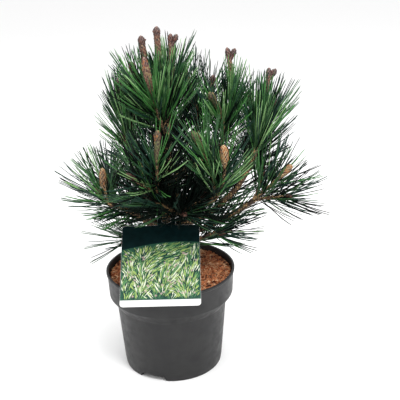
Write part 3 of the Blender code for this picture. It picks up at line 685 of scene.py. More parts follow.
def boughRadius(bend):
    stout = limb["stout"] if np.linalg.norm(bend[2] - bend[0]) > limb["stoutFrom"] else 1
    return lambda share: stout * (limb["root"] + (limb["tip"] - limb["root"]) * share)


def buildLimbs(plant, barkMaterial, plateMaterials):
    climb, rings = trunk["top"] - trunk["foot"], trunk["rings"]
    heights = [trunk["foot"] + climb * n / rings for n in range(rings + 1)]
    sizes = [trunkRadius(height) for height in heights]
    parts = [tube([trunkPoint(height) for height in heights], sizes, trunk["sides"], trunk["rough"])]
    rng = np.random.default_rng(bark["seed"])
    # the trunk's plates are laid along a plain bend and moved with its sway
    foot, middle, top, span = bark["plated"]
    axis = (trunkPoint(foot), trunkPoint(middle), trunkPoint(top))
    larger, longer, wider = bark["onTrunk"]
    field = scaleField(axis, 0.0, 0.99, lambda share: trunkRadius(foot + share * span),
                       bark["cell"] * larger, bark["halfLength"] * longer, bark["halfWidth"] * wider,
                       bark["rise"], 0.0)
    levels = np.clip(field[:, 4, 2], foot, trunk["top"])
    sway = np.array([trunkPoint(level) - onBend(axis, (level - foot) / span) for level in levels])
    plates = [field + sway[:, None]]
    for bend, *rest in plant.values():
        if bend is None:
            continue
        radiusAt, length = boughRadius(bend), lengthOf(bend)
        parts.append(bendTube(bend, limb["starts"] / length, 1.0, radiusAt, limb["sides"], limb["ringGap"],
                              limb["rough"]))
        plates.append(scaleField(bend, limb["platesStart"] / length, 0.99, radiusAt, bark["cell"],
                                 bark["halfLength"], bark["halfWidth"], bark["rise"], rng.uniform(0, 6)))
    nodes = ["trunk"] + ["bough_" + name for name in boughs]
    newPiece("bark_limbs", joined("bark_limbs", parts), [barkMaterial], nodes)
    tints = [rng.choice(len(plateMaterials), len(field), p=bark["shares"]) for field in plates]
    mesh = gemMesh("bark_plates", plates, tints)
    newPiece("bark_plates", mesh, plateMaterials)
    print("limbs", len(mesh.polygons))


# Shoots: this year's candles, reddish brown with pale fringes between their scales, on scaly older twigs

candle = {
    "stem": 0.0026, "neck": 0.0042, "bud": 0.0053, "twin": 0.0043, "budLength": 0.0125,
    "wide": {"egg": 0.0066, "pale": 0.0057, "plump": 0.0060}, "smallTo": 0.02, "budMost": 0.6,
    # a long candle's neck, a small one's bud and a forked one's necks, next to the sizes above
    "longFrom": 0.06, "longNeck": 1.12, "smallBud": 0.8, "twinNeck": 0.88,
    # outlines, as the place along and the share of the width; the bud's places are counted from its tip
    "neckOutline": ((0.3, 0.9), (0.75, 1.0), (1.0, 1.04)),
    "budOutline": ((0.76, 0.92), (0.56, 1.0), (0.38, 0.86), (0.18, 0.52), (0.05, 0.22), (0.0, 0.05)),
    "eggOutline": ((0.12, 0.60), (0.32, 0.90), (0.54, 1.0), (0.76, 0.93), (0.9, 0.70), (0.97, 0.4),
                   (1.0, 0.08)),
    "plumpOutline": ((0.3, 0.72), (0.55, 1.0), (0.72, 0.97), (0.86, 0.84), (0.94, 0.6), (0.98, 0.34),
                     (1.0, 0.08)),
    "twinOutline": ((0, 0.8), (0.45, 0.84), (0.64, 1.0), (0.8, 0.82), (0.93, 0.36), (1, 0.06)),
    "sideOutline": ((0, 0.9), (0.6, 1.0), (0.8, 0.8), (1, 0.15)),
    "cell": 14e-6, "halfLength": 0.0028, "halfWidth": 0.0017, "rise": 0.0007, "inset": 0.0001, "seed": 23,
    "twinFrom": 1.4, "twinReach": 1.7, "sideBud": 0.0021, "sideLength": 0.0092,
    # how far from a candle that shows the needles before it stand aside, and how far down it
    "clearing": 0.0050, "clearedTop": 0.024,
    # how far below its tip a red candle's scales turn greenish, and the share of them that do
    "greenBelow": 0.026, "greenShare": 0.55,
    # the bud's scales next to the stem's, and how far their tips stand off
    "budCell": 0.72, "budScale": 0.92, "budRise": 1.2, "budLean": 0.0005,
    # where the bud of an egg or pale candle, or of a second head, starts
    "eggFrom": 0.3, "sides": 12, "stemRings": 0.0022, "budRings": 0.0016, "sideRings": 0.0018,
}
twig = {"knot": 0.0036, "knotSwell": 0.0012, "knotFoot": 0.005, "knotTop": 0.003, "knotSides": 12,
        "knotRings": 0.002, "rough": 0.0002, "sides": 8, "ringGap": 0.006, "platesFrom": 0.02, "cell": 9e-6,
        "halfLength": 0.0024, "halfWidth": 0.0013, "rise": 0.0004, "shares": (0.25, 0.5, 0.25)}
# the skins under the stem's and the bud's scales, by place in the list of core finishes; others have 0 and 2
skins = {"egg": (1, 1), "pale": (1, 1), "tawny": (3, 3), "olive": (3, 3), "small": (4, 4)}
# the kinds that differ from the rest: eggs have just broken and are orange, pale ones have dried to tan,
# tawny and olive ones still have some green in them
candleKinds = {
    "egg": ((0.091, -0.080, 0.416),),
    "pale": ((0.202, -0.030, 0.365), (-0.100, -0.040, 0.371)),
    "tawny": ((-0.007, -0.090, 0.445), (-0.066, -0.030, 0.418)),
    "olive": ((0.071, -0.050, 0.491), (0.044, -0.084, 0.441)),
    "plump": ((-0.025, -0.050, 0.547),),
}
# for each kind, how its stem's and its bud's scales share out over red, brown, dark, tan, orange and olive
scaleShares = {
    "red": ((0.34, 0.42, 0.16, 0.03, 0.0, 0.05), (0.15, 0.40, 0.45, 0.0, 0.0, 0.0)),
    "plump": ((0.44, 0.38, 0.08, 0.05, 0.05, 0.0), (0.50, 0.25, 0.05, 0.0, 0.20, 0.0)),
    "tawny": ((0.0, 0.22, 0.23, 0.05, 0.0, 0.50), (0.32, 0.33, 0.15, 0.05, 0.15, 0.0)),
    "olive": ((0.0, 0.15, 0.10, 0.10, 0.0, 0.65), (0.0, 0.35, 0.10, 0.15, 0.0, 0.40)),
    "egg": ((0.0, 0.20, 0.05, 0.55, 0.20, 0.0), (0.10, 0.12, 0.0, 0.28, 0.50, 0.0)),
    "pale": ((0.0, 0.22, 0.13, 0.55, 0.05, 0.05), (0.08, 0.20, 0.0, 0.42, 0.30, 0.0)),
    "small": ((0.1, 0.5, 0.4, 0.0, 0.0, 0.0), (0.0, 0.4, 0.6, 0.0, 0.0, 0.0)),
}
eggShaped = ("egg", "pale")


def candleKind(shoot):
    for kind, places in candleKinds.items():
        if any(np.allclose(shoot["bend"][2], place) for place in places):
            return kind
    return "red" if shoot["candle"] > candle["smallTo"] else "small"


def budShare(shoot):
    return min(candle["budLength"] / shoot["candle"], candle["budMost"])


def candleRadius(shoot, kind):
    tip = budShare(shoot)
    if kind in candle["wide"]:
        wide = candle["wide"][kind]
        outline = candle["eggOutline" if kind in eggShaped else "plumpOutline"]
        shape = [(place, wide * share) for place, share in outline]
    else:
        neck = candle["neck"] * (candle["longNeck"] if shoot["candle"] > candle["longFrom"] else 1)
        bud = candle["bud"] * (candle["smallBud"] if kind == "small" else 1)
        if shoot["buds"] == 2:
            neck, bud = candle["twin"] * candle["twinNeck"], candle["twin"]
        shape = [(place * (1 - tip), neck * share) for place, share in candle["neckOutline"]]
        shape += [(1 - tip * place, bud * share) for place, share in candle["budOutline"]]
    bare = shoot["bare"]
    places, sizes = zip((0.0, candle["stem"]), *shape)
    return lambda share: float(np.interp((share - bare) / (1 - bare), places, sizes))


def swelling(outline, width):
    places, shares = zip(*outline)
    return lambda share: float(np.interp(share, places, shares)) * width


def stemRadius(share):
    return candle["stem"]


def knotRadius(share):
    return twig["knot"] + twig["knotSwell"] * math.sin(share * 2.6)


def candleScales(bend, low, radiusAt, budFrom, turnStart, scales, tints, kind, rng):
    join = low + (1 - low) * budFrom
    stem, bud = scaleShares[kind]
    field = scaleField(bend, low, join, radiusAt, candle["cell"], candle["halfLength"], candle["halfWidth"],
                       candle["rise"], turnStart, inset=candle["inset"])
    tint = rng.choice(len(stem), len(field), p=stem)
    if kind == "red":
        # well below the bud the scales are still greenish
        depth = (1 - low - (join - low) * (np.arange(len(field)) + 0.5) / len(field)) * lengthOf(bend)
        tint[(depth > candle["greenBelow"]) & (rng.random(len(field)) < candle["greenShare"])] = 5
    scales.append(field)
    tints.append(tint)
    # the bud's own scales are closer together and stand off at their tips
    size = candle["budScale"]
    scales.append(scaleField(bend, join - 0.005, low + (1 - low) * 0.985, radiusAt,
                             candle["cell"] * candle["budCell"], candle["halfLength"] * size,
                             candle["halfWidth"] * size, candle["rise"] * candle["budRise"], turnStart + 1,
                             lean=candle["budLean"], inset=0.0, drawn=True))
    tints.append(rng.choice(len(bud), len(scales[-1]), p=bud))


def coreTube(bend, low, high, radiusAt, ringGap, skin):
    mesh = bendTube(bend, low, high, radiusAt, candle["sides"], ringGap)
    mesh.polygons.foreach_set("material_index", np.full(len(mesh.polygons), skin, dtype=np.int32))
    return mesh


def sideBuds(line, rng):
    # small buds that stand round the foot of the end bud
    start, aim = onBend(line, 1 - candle["budLength"] * 0.9 / lengthOf(line)), slopeOf(line, 1.0)
    side = unit(np.cross(aim, askew))
    radiusAt = swelling(candle["sideOutline"], candle["sideBud"])
    made = []
    for turn in rng.uniform(0, 2 * math.pi, 1) + np.array((0.0, 2.3, 4.3)):
        out = side * math.cos(turn) + np.cross(aim, side) * math.sin(turn)
        end = start + unit(aim * 0.7 + out * rng.uniform(0.75, 1.0)) * candle["sideLength"]
        made.append(coreTube((start, (start + end) / 2, end), 0, 1, radiusAt, candle["sideRings"], 5))
    return made


def secondHead(shoot):
    # the bend of a forked candle's second head, which is as short as the first
    share = 1 - candle["budLength"] * candle["twinFrom"] / shoot["length"]
    start, way = onBend(shoot["bend"], share), slopeOf(shoot["bend"], share)
    end = start + unit(way * 1.5 + np.array((1.0, -0.3, 0.2))) * candle["budLength"] * candle["twinReach"]
    return start, (start + end) / 2 + np.array((0.0012, 0, -0.0008)), end


def buildShoots(plant, twigMaterial, coreMaterials, plateMaterials, scaleMaterials):
    rng = np.random.default_rng(candle["seed"])
    twigs, cores, plates, plateTints, scales, tints = [], [], [], [], [], []
    for _, foot, aim, whorl, shoots in plant.values():
        knot = (foot + aim * clearGap, foot + aim * twig["knotFoot"], whorl + aim * twig["knotTop"])
        twigs.append(bendTube(knot, 0, 1, knotRadius, twig["knotSides"], twig["knotRings"], twig["rough"]))
        for shoot in shoots:
            line, bare = shoot["bend"], shoot["bare"]
            twigs.append(bendTube(line, 0, bare, stemRadius, twig["sides"], twig["ringGap"], twig["rough"]))
            plates.append(scaleField(line, twig["platesFrom"], bare, stemRadius, twig["cell"],
                                     twig["halfLength"], twig["halfWidth"], twig["rise"], rng.uniform(0, 6)))
            plateTints.append(rng.choice(len(plateMaterials), len(plates[-1]), p=twig["shares"]))
            kind = candleKind(shoot)
            radiusAt = candleRadius(shoot, kind)
            skin, budSkin = skins.get(kind, (0, 2))
            budFrom = candle["eggFrom"] if kind in eggShaped else 1 - budShare(shoot)
            join = bare + (1 - bare) * budFrom
            cores.append(coreTube(line, bare - 0.01, join, radiusAt, candle["stemRings"], skin))
            cores.append(coreTube(line, join, 1.0, radiusAt, candle["budRings"], budSkin))
            candleScales(line, bare, radiusAt, budFrom, rng.uniform(0, 6), scales, tints, kind, rng)
            if kind == "red" and shoot["buds"] == 1:
                cores += sideBuds(line, rng)
            if shoot["buds"] == 2:
                head, radiusAt = secondHead(shoot), swelling(candle["twinOutline"], candle["twin"])
                cores.append(coreTube(head, 0, 1, radiusAt, candle["budRings"], budSkin))
                candleScales(head, 0.1, radiusAt, candle["eggFrom"], 1.0, scales, tints, kind, rng)
    newPiece("twigs", joined("twigs", twigs), [twigMaterial])
    newPiece("candle_cores", joined("candle_cores", cores), coreMaterials)
    newPiece("twig_plates", gemMesh("twig_plates", plates, plateTints), plateMaterials)
    mesh = gemMesh("candle_scales", scales, tints)
    newPiece("candle_scales", mesh, scaleMaterials)
    print("shoots", len(mesh.polygons))


# Needles: stiff, waxed, in pairs; grown by the solids' rule with many more to each shoot

needle = {
    "length": 0.080, "radius": 0.00100, "lift": 0.16, "from": 0.12, "perMetre": 780, "splay": 0.045,
    "flat": 0.66, "seed": 100, "sheath": 0.0045, "sheathWidth": 0.0012, "sheathRise": 0.0009,
    # how the angle of a spray narrows from its foot, and how much that angle, the lengths and the splay vary
    "fan": (1.25, 0.6), "fanJitter": 7, "lengths": (0.92, 1.08), "pairLengths": (0.97, 1.0),
    "splayJitter": 0.02, "bow": 0.02,
    # how far needles keep from limbs, the pot's lip and its top, and how far past the part's box they may go
    "clearance": 0.0012, "lipRoom": 0.008, "topRoom": 0.006, "boxRoom": 0.0005,
    # how far from a bare length of bough that shows the needles before it stand aside, and how far behind
    # such a stretch a needle still counts as before it
    "boughRoom": 0.0016, "behind": 0.002,
}
card = {
    "width": 0.129, "length": 0.1450, "thickness": 0.0010, "slope": math.radians(38.9), "overhang": 0.018,
    "shift": -0.013, "lipInset": 0.0009, "lift": 0.0004,
    # how far needles keep from it, and up to where along it
    "room": 0.003, "guarded": 0.17,
    # before it they keep above a line, so that the print shows: the line's height at the trunk, how it rises
    # towards the front, and where it ends
    "sightHeight": 0.2530, "sightRise": 0.385, "sightEnd": -0.13,
}


def cardFrame():
    along = np.array((0, math.cos(card["slope"]), math.sin(card["slope"])))
    facing = np.array((0, -math.sin(card["slope"]), math.cos(card["slope"])))
    lip = np.array((0, -(pot["lip"] - card["lipInset"]), pot["height"]))
    return lip + facing * (clearGap + card["lift"]), along, facing


def limbSegments(plant):
    heights = np.linspace(trunk["foot"], trunk["top"], 13)
    points = [np.array([trunkPoint(h) for h in heights])]
    sizes = [np.array([trunkRadius(h) for h in heights[1:]])]
    for bend, *rest in plant.values():
        if bend is not None:
            points.append(onBend(bend, np.linspace(0.05, 1, 8)))
            sizes.append(np.array([boughRadius(bend)(0.4)] * 7))
    starts = np.concatenate([row[:-1] for row in points])
    ends = np.concatenate([row[1:] for row in points])
    return starts, ends, np.concatenate(sizes)


def clearOf(roots, mids, tips, segments):
    starts, ends, sizes = segments
    share = np.linspace(0.25, 1, 8)[None, :, None]
    points = bendAt(roots[:, None], mids[:, None], tips[:, None], share)
    span = ends - starts
    flat = points.reshape(-1, 3)
    reach = np.einsum("pnk,nk->pn", flat[:, None] - starts[None], span) / (span * span).sum(-1)[None]
    nearest = starts[None] + span[None] * np.clip(reach, 0, 1)[..., None]
    gap = np.linalg.norm(flat[:, None] - nearest, axis=-1) - sizes[None]
    clear = gap.min(1).reshape(len(roots), -1).min(1) > needle["clearance"]
    lip, cardAlong, facing = cardFrame()
    above = (points - lip) @ facing
    upCard = (points - lip) @ cardAlong
    x, y, z = np.moveaxis(points, -1, 0)
    across = np.abs(x - card["shift"])
    beside = (across < card["width"] / 2 + card["room"]) | (upCard > card["length"])
    clear &= ~((np.abs(above) < card["room"]) & (upCard < card["guarded"]) & beside).any(1)
    before = (across < card["width"] / 2) & (y < 0) & (y > card["sightEnd"])
    clear &= ~(before & (z < card["sightHeight"] - card["sightRise"] * y)).any(1)
    overPot = np.hypot(x, y) < pot["lip"] + needle["lipRoom"]
    clear &= ~(overPot & (z < pot["height"] + needle["topRoom"])).any(1)
    low, high = np.array(cadBox[0]) - needle["boxRoom"], np.array(cadBox[1]) + needle["boxRoom"]
    return clear & ((points > low) & (points < high)).all((1, 2))


def needleSpray(bend, low, high, spread, rng, thick=1.0, short=1.0):
    span = lengthOf(bend) * (high - low)
    count = max(int(span * needle["perMetre"] * thick), 6)
    climb = (np.arange(count) + 0.5) / count
    share = low + (high - low) * climb
    roots, aim = onBend(bend, share), slopeOf(bend, share)
    out, across = spiralled(aim, rng.uniform(0, 6.28) + goldenTurn * np.arange(count))
    wide, narrowing = needle["fan"]
    jitter = rng.uniform(-needle["fanJitter"], needle["fanJitter"], count)
    fan = np.radians(spread * (wide - narrowing * climb) + jitter)[:, None]
    length = (needle["length"] * short * rng.uniform(*needle["lengths"], count))[:, None]
    sets = []
    for half in (-1, 1):
        splay = needle["splay"] * half + rng.normal(0, needle["splayJitter"], count)[:, None]
        way = unit(aim * np.cos(fan) + out * np.sin(fan) + across * splay)
        reach = length * rng.uniform(*needle["pairLengths"], count)[:, None]
        tips = roots + way * reach + up * (reach * needle["lift"] * np.sin(fan))
        mids = roots + way * reach * 0.5 + out * reach * needle["bow"]
        sets.append((roots, mids, tips))
    return [np.concatenate(part) for part in zip(*sets)], np.concatenate([np.arange(count)] * 2)


needleGroups = {
    "needles_top": ("leader", "right_upper", "left_upper"),
    "needles_right": ("right_outer", "right_low", "right_base", "front_right", "right_back"),
    "needles_left": ("left_low", "left_base", "front_left", "front_low", "left_back"),
    "needles_rear": ("back_right", "back", "back_left", "back_low", "back_base"),
}
# shares of the greens, deep to fresh, as painted light and shade: for a mass that stands in the light, one
# that stands low or behind, and one deep in the crown's shade
sunny = (0.14, 0.22, 0.28, 0.23, 0.13)
shaded = (0.34, 0.32, 0.22, 0.09, 0.03)
paintedDeepShade = (0.86, 0.12, 0.02, 0.0, 0.0)
sunnyMasses = ("leader", "right_upper", "front_left", "front_right", "right_outer", "left_upper")
# the masses behind carry fewer, so that some light comes through the crown
rearShare = 0.8
# the crown's heart, where the needles are dealt dark greens as painted shade: its middle, and how far it
# reaches each way
heart = {"middle": (0.016, -0.020, 0.332), "reach": (0.088, 0.125, 0.132), "full": 0.58}
# masses whose shoots carry more needles than the rest
shootShare = {"front_low": 2.0, "left_low": 1.2}
# older needles that a bough still carries: where they start and end along it, their spread, and how many
olderNeedles = {
    "left_upper": (0.45, 1.0, 46, 0.7), "right_upper": (0.45, 1.0, 46, 0.7),
    "front_left": (0.5, 1.0, 48, 0.6), "front_right": (0.5, 1.0, 48, 0.7),
    "back_right": (0.45, 1.0, 46, 0.7), "back_left": (0.45, 1.0, 40, 0.7),
    "back": (0.2, 1.0, 46, 0.5), "right_low": (0.35, 0.9, 26, 0.6), "left_low": (0.3, 1.0, 46, 1.2),
    "left_base": (0.1, 1.0, 60, 1.5), "right_base": (0.2, 1.0, 40, 0.8), "front_low": (0.3, 1.0, 62, 1.6),
    "back_base": (0.05, 0.8, 60, 1.0), "back_low": (0.05, 0.8, 60, 1.0), "left_back": (0.1, 0.6, 50, 0.6),
    "right_back": (0.1, 0.8, 50, 0.7), "right_outer": (0.25, 0.8, 30, 0.5),
}
# what is left of the needles of earlier years on the trunk, in the crown's core: three heights that their
# stretch bends through, their spread, and how many
trunkNeedles = (((0.318, 0.36, 0.40), 50, 1.2), ((0.244, 0.278, 0.312), 66, 2.8))
# how long all these older ones are next to a shoot's own
olderLength = 0.9


def heartShadeShare(points):
    # 1 in the crown's heart, falling to 0 at its skin
    away = (points - np.array(heart["middle"])) / np.array(heart["reach"])
    return 1 - np.clip((np.linalg.norm(away, axis=1) - heart["full"]) / (1 - heart["full"]), 0, 1)


def dealt(weights, mids, bundle, rng):
    # one green for each pair of needles, darker as painted shade the nearer it stands to the crown's heart
    count = bundle.max() + 1
    share = heartShadeShare(mids[:count])[:, None]
    edges = (np.array(weights) * (1 - share) + np.array(paintedDeepShade) * share).cumsum(1)
    return (rng.random(count)[:, None] > edges[:, :-1]).sum(1)


# candles that stand clear of the needles before them, on the side that the card faces
shownCandles = candleKinds["egg"] + candleKinds["pale"] + candleKinds["plump"] + candleKinds["tawny"][:1]
# bare lengths of bough that show from there too: from and to along each
shownBoughs = {"right_low": (0.72, 1.0), "right_outer": (0.50, 0.85)}
frontSide = unit(np.array((0.045, -0.935, 0.35)))


def partedBy(plant):
    # each stretch that shows: its ends, and how far from it the needles stand aside
    stretches = []
    for name, (bend, *rest, shoots) in plant.items():
        if name in shownBoughs:
            points = onBend(bend, np.linspace(*shownBoughs[name], 4))
            stretches += [(start, end, needle["boughRoom"]) for start, end in zip(points, points[1:])]
        for shoot in shoots:
            if any(np.allclose(shoot["bend"][2], place) for place in shownCandles):
                low = 1 - min(shoot["candle"], candle["clearedTop"]) / shoot["length"]
                stretches.append((onBend(shoot["bend"], low), shoot["bend"][2], candle["clearing"]))
    return stretches


def standsAside(roots, mids, tips, parted):
    # false where a needle crosses in front of one of those stretches
    share = np.linspace(0.1, 1, 14)[None, :, None]
    points = bendAt(roots[:, None], mids[:, None], tips[:, None], share)
    clear = np.ones(len(roots), bool)
    for start, end, room in parted:
        ahead = (points - start) @ frontSide
        flat = points - start - ahead[..., None] * frontSide
        span = end - start - ((end - start) @ frontSide) * frontSide
        place = np.clip(flat @ span / (span @ span), 0, 1)
        gap = np.linalg.norm(flat - place[..., None] * span, axis=-1)
        clear &= ~((gap < room) & (ahead > -needle["behind"])).any(1)
    return clear


def buildNeedles(plant, materials, sheathMaterial):
    segments, parted = limbSegments(plant), partedBy(plant)
    order = 0
    sheaths, sheathTints = [], []
    for piece, masses in needleGroups.items():
        grown = []
        for name in masses:
            bend, *rest, shoots = plant[name]
            rng = np.random.default_rng(needle["seed"] + order)
            order += 1
            weights = sunny if name in sunnyMasses else shaded
            thick = rearShare if piece == "needles_rear" else shootShare.get(name, 1.0)
            sprays = [(weights, needleSpray(s["bend"], needle["from"], s["bare"], s["spread"], rng, thick))
                      for s in shoots]
            if name in olderNeedles:
                low, high, spread, share = olderNeedles[name]
                sprays.append((shaded, needleSpray(bend, low, high, spread, rng, share, olderLength)))
            if name == "leader":
                # the trunk's needles are dealt the deepest greens, as painted shade in the crown's core
                for heights, spread, share in trunkNeedles:
                    axis = [trunkPoint(height) for height in heights]
                    sprays.append((paintedDeepShade, needleSpray(axis, 0.0, 1.0, spread, rng, share, olderLength)))
            for shares, ((root, mid, tip), bundle) in sprays:
                keep = clearOf(root, mid, tip, segments) & standsAside(root, mid, tip, parted)
                greens = dealt(shares, mid, bundle, rng)
                grown.append((root[keep], mid[keep], tip[keep], greens[bundle[keep]]))
        roots, mids, tips, tints = [np.concatenate(part) for part in zip(*grown)]
        mesh = strands(piece, roots, mids, tips, needle["radius"], tints, needle["flat"])
        newPiece(piece, mesh, materials, ["needles_" + name for name in masses])
        way = unit(mids - roots)
        side, half = levelSide(way), needle["sheath"] / 2
        sheaths.append(gems(roots + way * half, way, side, np.cross(side, way), half, needle["sheathWidth"],
                            needle["sheathRise"], needle["sheathRise"]))
        sheathTints.append(np.zeros(len(roots), int))
        print(piece, len(roots), "needles", len(mesh.polygons), "triangles")
    newPiece("needle_sheaths", gemMesh("needle_sheaths", sheaths, sheathTints), [sheathMaterial])


# The label: a coated card, printed with plain blades of grass on a green ground under a dark band

label = {
    "bandFoot": 0.100, "bandRise": 0.014, "bandWave": 2.1, "stripTop": 0.011, "inset": 0.0002,
    "corner": 0.005, "tongue": 0.015, "loopHeight": 0.2665, "loopAcross": 0.0100, "loopAlong": 0.0125,
    "loopRoom": 1.03, "print": 0.00004, "seed": 41,
    "blades": 2600, "clumps": 15, "bladeLength": (0.0035, 0.0095), "bladeWidth": (0.0006, 0.0013),
    "bladeMargin": 0.002, "bladeLift": 0.00025, "leanJitter": 0.16,
    # shares of lime, green, teal and pale blades in a dark clump, and what a light one adds to each
    "bladeShares": ((0.04, 0.40), (0.30, 0), (0.62, -0.52), (0.04, 0.22)),
    "relief": 0.00006, "flowers": 46, "flowerMargin": 0.006, "flowerLift": 0.0003, "petals": 5,
    "petalLength": 0.0012, "petalWidth": 0.0007,
}


def onCard(x, y, lift):
    lip, along, facing = cardFrame()
    origin = lip - along * card["overhang"] + np.array((card["shift"], 0, 0)) + facing * card["thickness"]
    right = np.array((1.0, 0, 0))
    x, y, lift = (np.asarray(value, float)[..., None] for value in (x, y, lift))
    return origin + right * x + along * y + facing * lift


def arcPoints(x, y, radius, start, sweep, steps):
    turns = [math.radians(start + sweep * n / steps) for n in range(steps + 1)]
    return [(x + radius * math.cos(turn), y + radius * math.sin(turn)) for turn in turns]


def printLayer(name, outlines, material):
    bm = bmesh.new()
    edges = []
    for outline in outlines:
        ring = [bm.verts.new(onCard(x, y, 0)) for x, y in outline]
        edges += [bm.edges.new(pair) for pair in zip(ring, ring[1:] + ring[:1])]
    filled = bmesh.ops.triangle_fill(bm, use_beauty=True, use_dissolve=False, edges=edges)["geom"]
    grown = bmesh.ops.extrude_face_region(bm, geom=only(bmesh.types.BMFace, filled))["geom"]
    bmesh.ops.translate(bm, verts=only(bmesh.types.BMVert, grown), vec=cardFrame()[2] * label["print"])
    newPiece(name, meshOf(bm, name, smooth=False), [material])


def bandEdge(x):
    # the dark band's lower edge is a shallow wave
    turn = (np.asarray(x) / card["width"] + 0.5) * label["bandWave"]
    return label["bandFoot"] + label["bandRise"] * np.sin(turn)


def printGround(half, groundMaterial, bandMaterial):
    top, corner, strip = card["length"] - label["inset"], label["corner"], label["stripTop"]
    columns = [-half + 2 * half * n / 32 for n in range(33)]
    edge = [(x, float(bandEdge(x))) for x in columns]
    printLayer("label_ground", [[(-half, strip), (half, strip), *reversed(edge)]], groundMaterial)
    lip, along = cardFrame()[:2]
    loop = trunkPoint(label["loopHeight"])
    x, y = loop[0] - card["shift"], float((loop - lip) @ along) + card["overhang"]
    tongue = label["tongue"] - label["inset"]
    right = arcPoints(half - corner, top - corner, corner, 0, 90, 6)
    left = arcPoints(corner - half, top - corner, corner, 90, 90, 6)
    neck = [(x + tongue, top), *arcPoints(x, y, tongue, 0, 180, 16), (x - tongue, top)]
    slot = [(x + label["loopAcross"] * math.cos(a), y + label["loopAlong"] * math.sin(a))
            for a in [2 * math.pi * n / 28 for n in range(28)]]
    slot = [(x + (u - x) * label["loopRoom"], y + (v - y) * label["loopRoom"]) for u, v in slot]
    printLayer("label_band", [edge + right + neck + left, slot], bandMaterial)


def printBlades(half, rng):
    count, clumps, margin = label["blades"], label["clumps"], label["bladeMargin"]
    x = rng.uniform(-half + margin, half - margin, count)
    y = rng.uniform(label["stripTop"] + margin, label["bandFoot"] + label["bandRise"], count)
    # clumps of grass: each blade leans away from the foot of the nearest clump
    feet = [rng.uniform(-half, half, clumps), rng.uniform(-0.02, label["bandFoot"] - 0.01, clumps)]
    feet = np.stack(feet, -1)
    away = np.stack([x, y], -1)[:, None] - feet[None]
    away[..., 1] = np.abs(away[..., 1]) + 0.012
    nearest = np.linalg.norm(away, axis=-1).argmin(1)
    lean = np.arctan2(*away[np.arange(count), nearest].T[::-1]) + rng.normal(0, label["leanJitter"], count)
    halfLength = rng.uniform(*label["bladeLength"], count)
    reachX, reachY = np.abs(np.cos(lean) * halfLength), np.abs(np.sin(lean) * halfLength)
    keep = (y - reachY > label["stripTop"]) & (np.abs(x) + reachX < half)
    keep &= y + reachY < np.minimum(bandEdge(x - reachX), bandEdge(x + reachX))
    x, y, lean, halfLength = x[keep], y[keep], lean[keep], halfLength[keep]
    aim = onCard(np.cos(lean), np.sin(lean), 0) - onCard(0, 0, 0)
    across = onCard(-np.sin(lean), np.cos(lean), 0) - onCard(0, 0, 0)
    centres = onCard(x, y, label["print"] + rng.uniform(0, label["bladeLift"], len(x)))
    width = rng.uniform(*label["bladeWidth"], len(x))[:, None]
    blades = gems(centres, aim, across, cardFrame()[2][None], halfLength[:, None], width, label["relief"],
                  label["relief"])
    # a blade's colour goes by its clump, so that the print reads as light and dark tussocks
    light = (rng.random(clumps) * 0.6 + np.clip(feet[:, 1] / label["bandFoot"], 0, 1) * 0.55)[nearest[keep]]
    light = np.minimum(light, 1)
    weights = np.stack([dark + more * light for dark, more in label["bladeShares"]], -1).cumsum(1)
    return blades, (rng.random(len(x))[:, None] * weights[:, -1:] > weights).sum(1)


def printFlowers(half, rng):
    count, margin, strip = label["flowers"], label["flowerMargin"], label["stripTop"]
    spots = onCard(rng.uniform(-half + margin, half - margin, count),
                   rng.uniform(strip + margin, label["bandFoot"] - margin, count),
                   label["print"] + label["flowerLift"])
    along, facing = cardFrame()[1:]
    right, length = onCard(1, 0, 0) - onCard(0, 0, 0), label["petalLength"]
    petals = []
    for turn in range(label["petals"]):
        angle = turn * 2 * math.pi / label["petals"] + rng.uniform(0, 1, count)[:, None] * 0.2
        aim = right * np.cos(angle) + along * np.sin(angle)
        across = along * np.cos(angle) - right * np.sin(angle)
        petals.append(gems(spots + aim * length, aim, across, facing[None], length, label["petalWidth"],
                           label["relief"], label["relief"]))
    return petals


def buildLabel(filmMaterial, groundMaterial, bandMaterial, bladeMaterials):
    skin = bpy.data.objects["label"].data.materials
    skin.clear()
    skin.append(filmMaterial)
    half = card["width"] / 2 - label["inset"]
    printGround(half, groundMaterial, bandMaterial)
    rng = np.random.default_rng(label["seed"])
    blades, tints = printBlades(half, rng)
    petals = printFlowers(half, rng)
    # petals have the last of the finishes
    petalTints = [np.full(len(petal), len(bladeMaterials) - 1) for petal in petals]
    mesh = gemMesh("label_blades", [blades, *petals], [tints, *petalTints])
    newPiece("label_blades", mesh, bladeMaterials)
    print("label", len(blades), "blades")


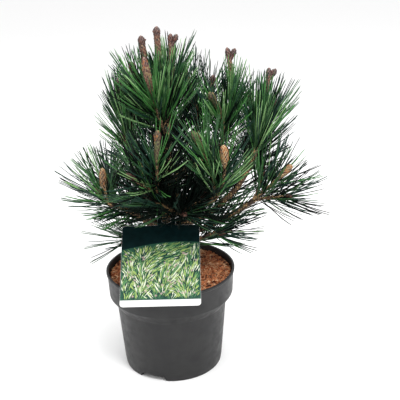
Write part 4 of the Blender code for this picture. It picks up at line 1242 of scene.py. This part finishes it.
def main():
    buildCamera()
    buildStudio()
    buildPot()
    # composted pine bark and coir: orange-brown chips, some still dark with damp
    chips = mottledSet(5, (
        ("pine_bark_chip", "#8c4b2f", "#ba7348", 0.9), ("coir_chip", "#a66745", "#cf9062", 0.9),
        ("pale_coir", "#bb8d66", "#e0b892", 0.9), ("wet_bark_chip", "#432417", "#653824", 0.85),
    ), reliefMm=0.2, grainMm=0.8, specular=0.25)
    buildMix(mottled("damp_potting_mix", "#24130b", "#4c2b1a", 4, 0.95, 0.4, 1.2, specular=0.2), chips)
    plant = growPlant()
    # young pine bark: dull grey-brown under tan plates
    limbSkin = mottled("young_pine_bark", "#2b2019", "#4a392c", 6, 0.88, 0.25, 1.0)
    plates = mottledSet(4, (
        ("bark_plate_grey", "#64533f", "#8a765a", 0.85), ("bark_plate_tan", "#8c6e48", "#b8976a", 0.85),
        ("bark_plate_brown", "#4a3526", "#664a36", 0.85),
    ))
    buildLimbs(plant, limbSkin, plates)
    # bud scales are papery and red-brown, glazed with a little resin; the fringe between them is pale
    scales = mottledSet(2, (
        ("candle_red", "#4f271e", "#693c2f", 0.6), ("candle_brown", "#38211c", "#4e322b", 0.6),
        ("bud_dark", "#2d1e1e", "#423030", 0.6), ("candle_tan", "#7a6140", "#99805a", 0.6),
        ("bud_orange", "#87502a", "#a56b39", 0.6), ("candle_olive", "#3c4024", "#575a34", 0.6),
    ), coat=0.1)
    cores = mottledSet(2, (
        ("candle_fringe", "#6e5544", "#957a63", 0.85), ("tan_candle_fringe", "#a88c66", "#cbb08a", 0.85),
        ("bud_fringe", "#6f5750", "#94796f", 0.8), ("olive_candle_fringe", "#545236", "#73704a", 0.85),
        ("small_bud_skin", "#5a3729", "#7a4e3a", 0.8), ("side_bud_skin", "#4a302a", "#6c4a40", 0.7),
    ))
    buildShoots(plant, limbSkin, cores, plates, scales)
    # waxed needle skin: plain greens dealt out by pair, with a thin coat for the wax
    # the deep and blue greens are mostly dealt as painted shade, the fresh and pale ones partly as painted
    # light
    greens = [plain(*finish) for finish in (
        ("needle_deep", "#050f0a", 0.6, 0.0, 0.08), ("needle_blue", "#16372a", 0.5, 0.05, 0.3),
        ("needle_green", "#225024", 0.48, 0.08), ("needle_fresh", "#3e7836", 0.46, 0.1),
        ("needle_pale", "#7fa96b", 0.45, 0.1),
    )]
    buildNeedles(plant, greens, plain("needle_sheath", "#3f3226", 0.8))
    # litho print under a clear film
    blades = mottledSet(3, (
        ("print_lime", "#8fa65a", "#a0b86c", 0.45), ("print_green", "#477648", "#568656", 0.45),
        ("print_teal", "#0e3029", "#183f37", 0.45), ("print_pale", "#cfd6bc", "#dde3cd", 0.45),
        ("print_rose", "#a58f8c", "#b9a5a0", 0.45),
    ), specular=0.2)
    film = mottled("coated_card", "#e2e2e0", "#eaeae8", 9, 0.4)
    band = mottled("print_dark", "#06191a", "#0a2123", 9, 0.45, specular=0.08)
    ground = mottled("print_moss", "#1c4436", "#2b5643", 6, 0.45, specular=0.2)
    buildLabel(film, ground, band, blades)


main()
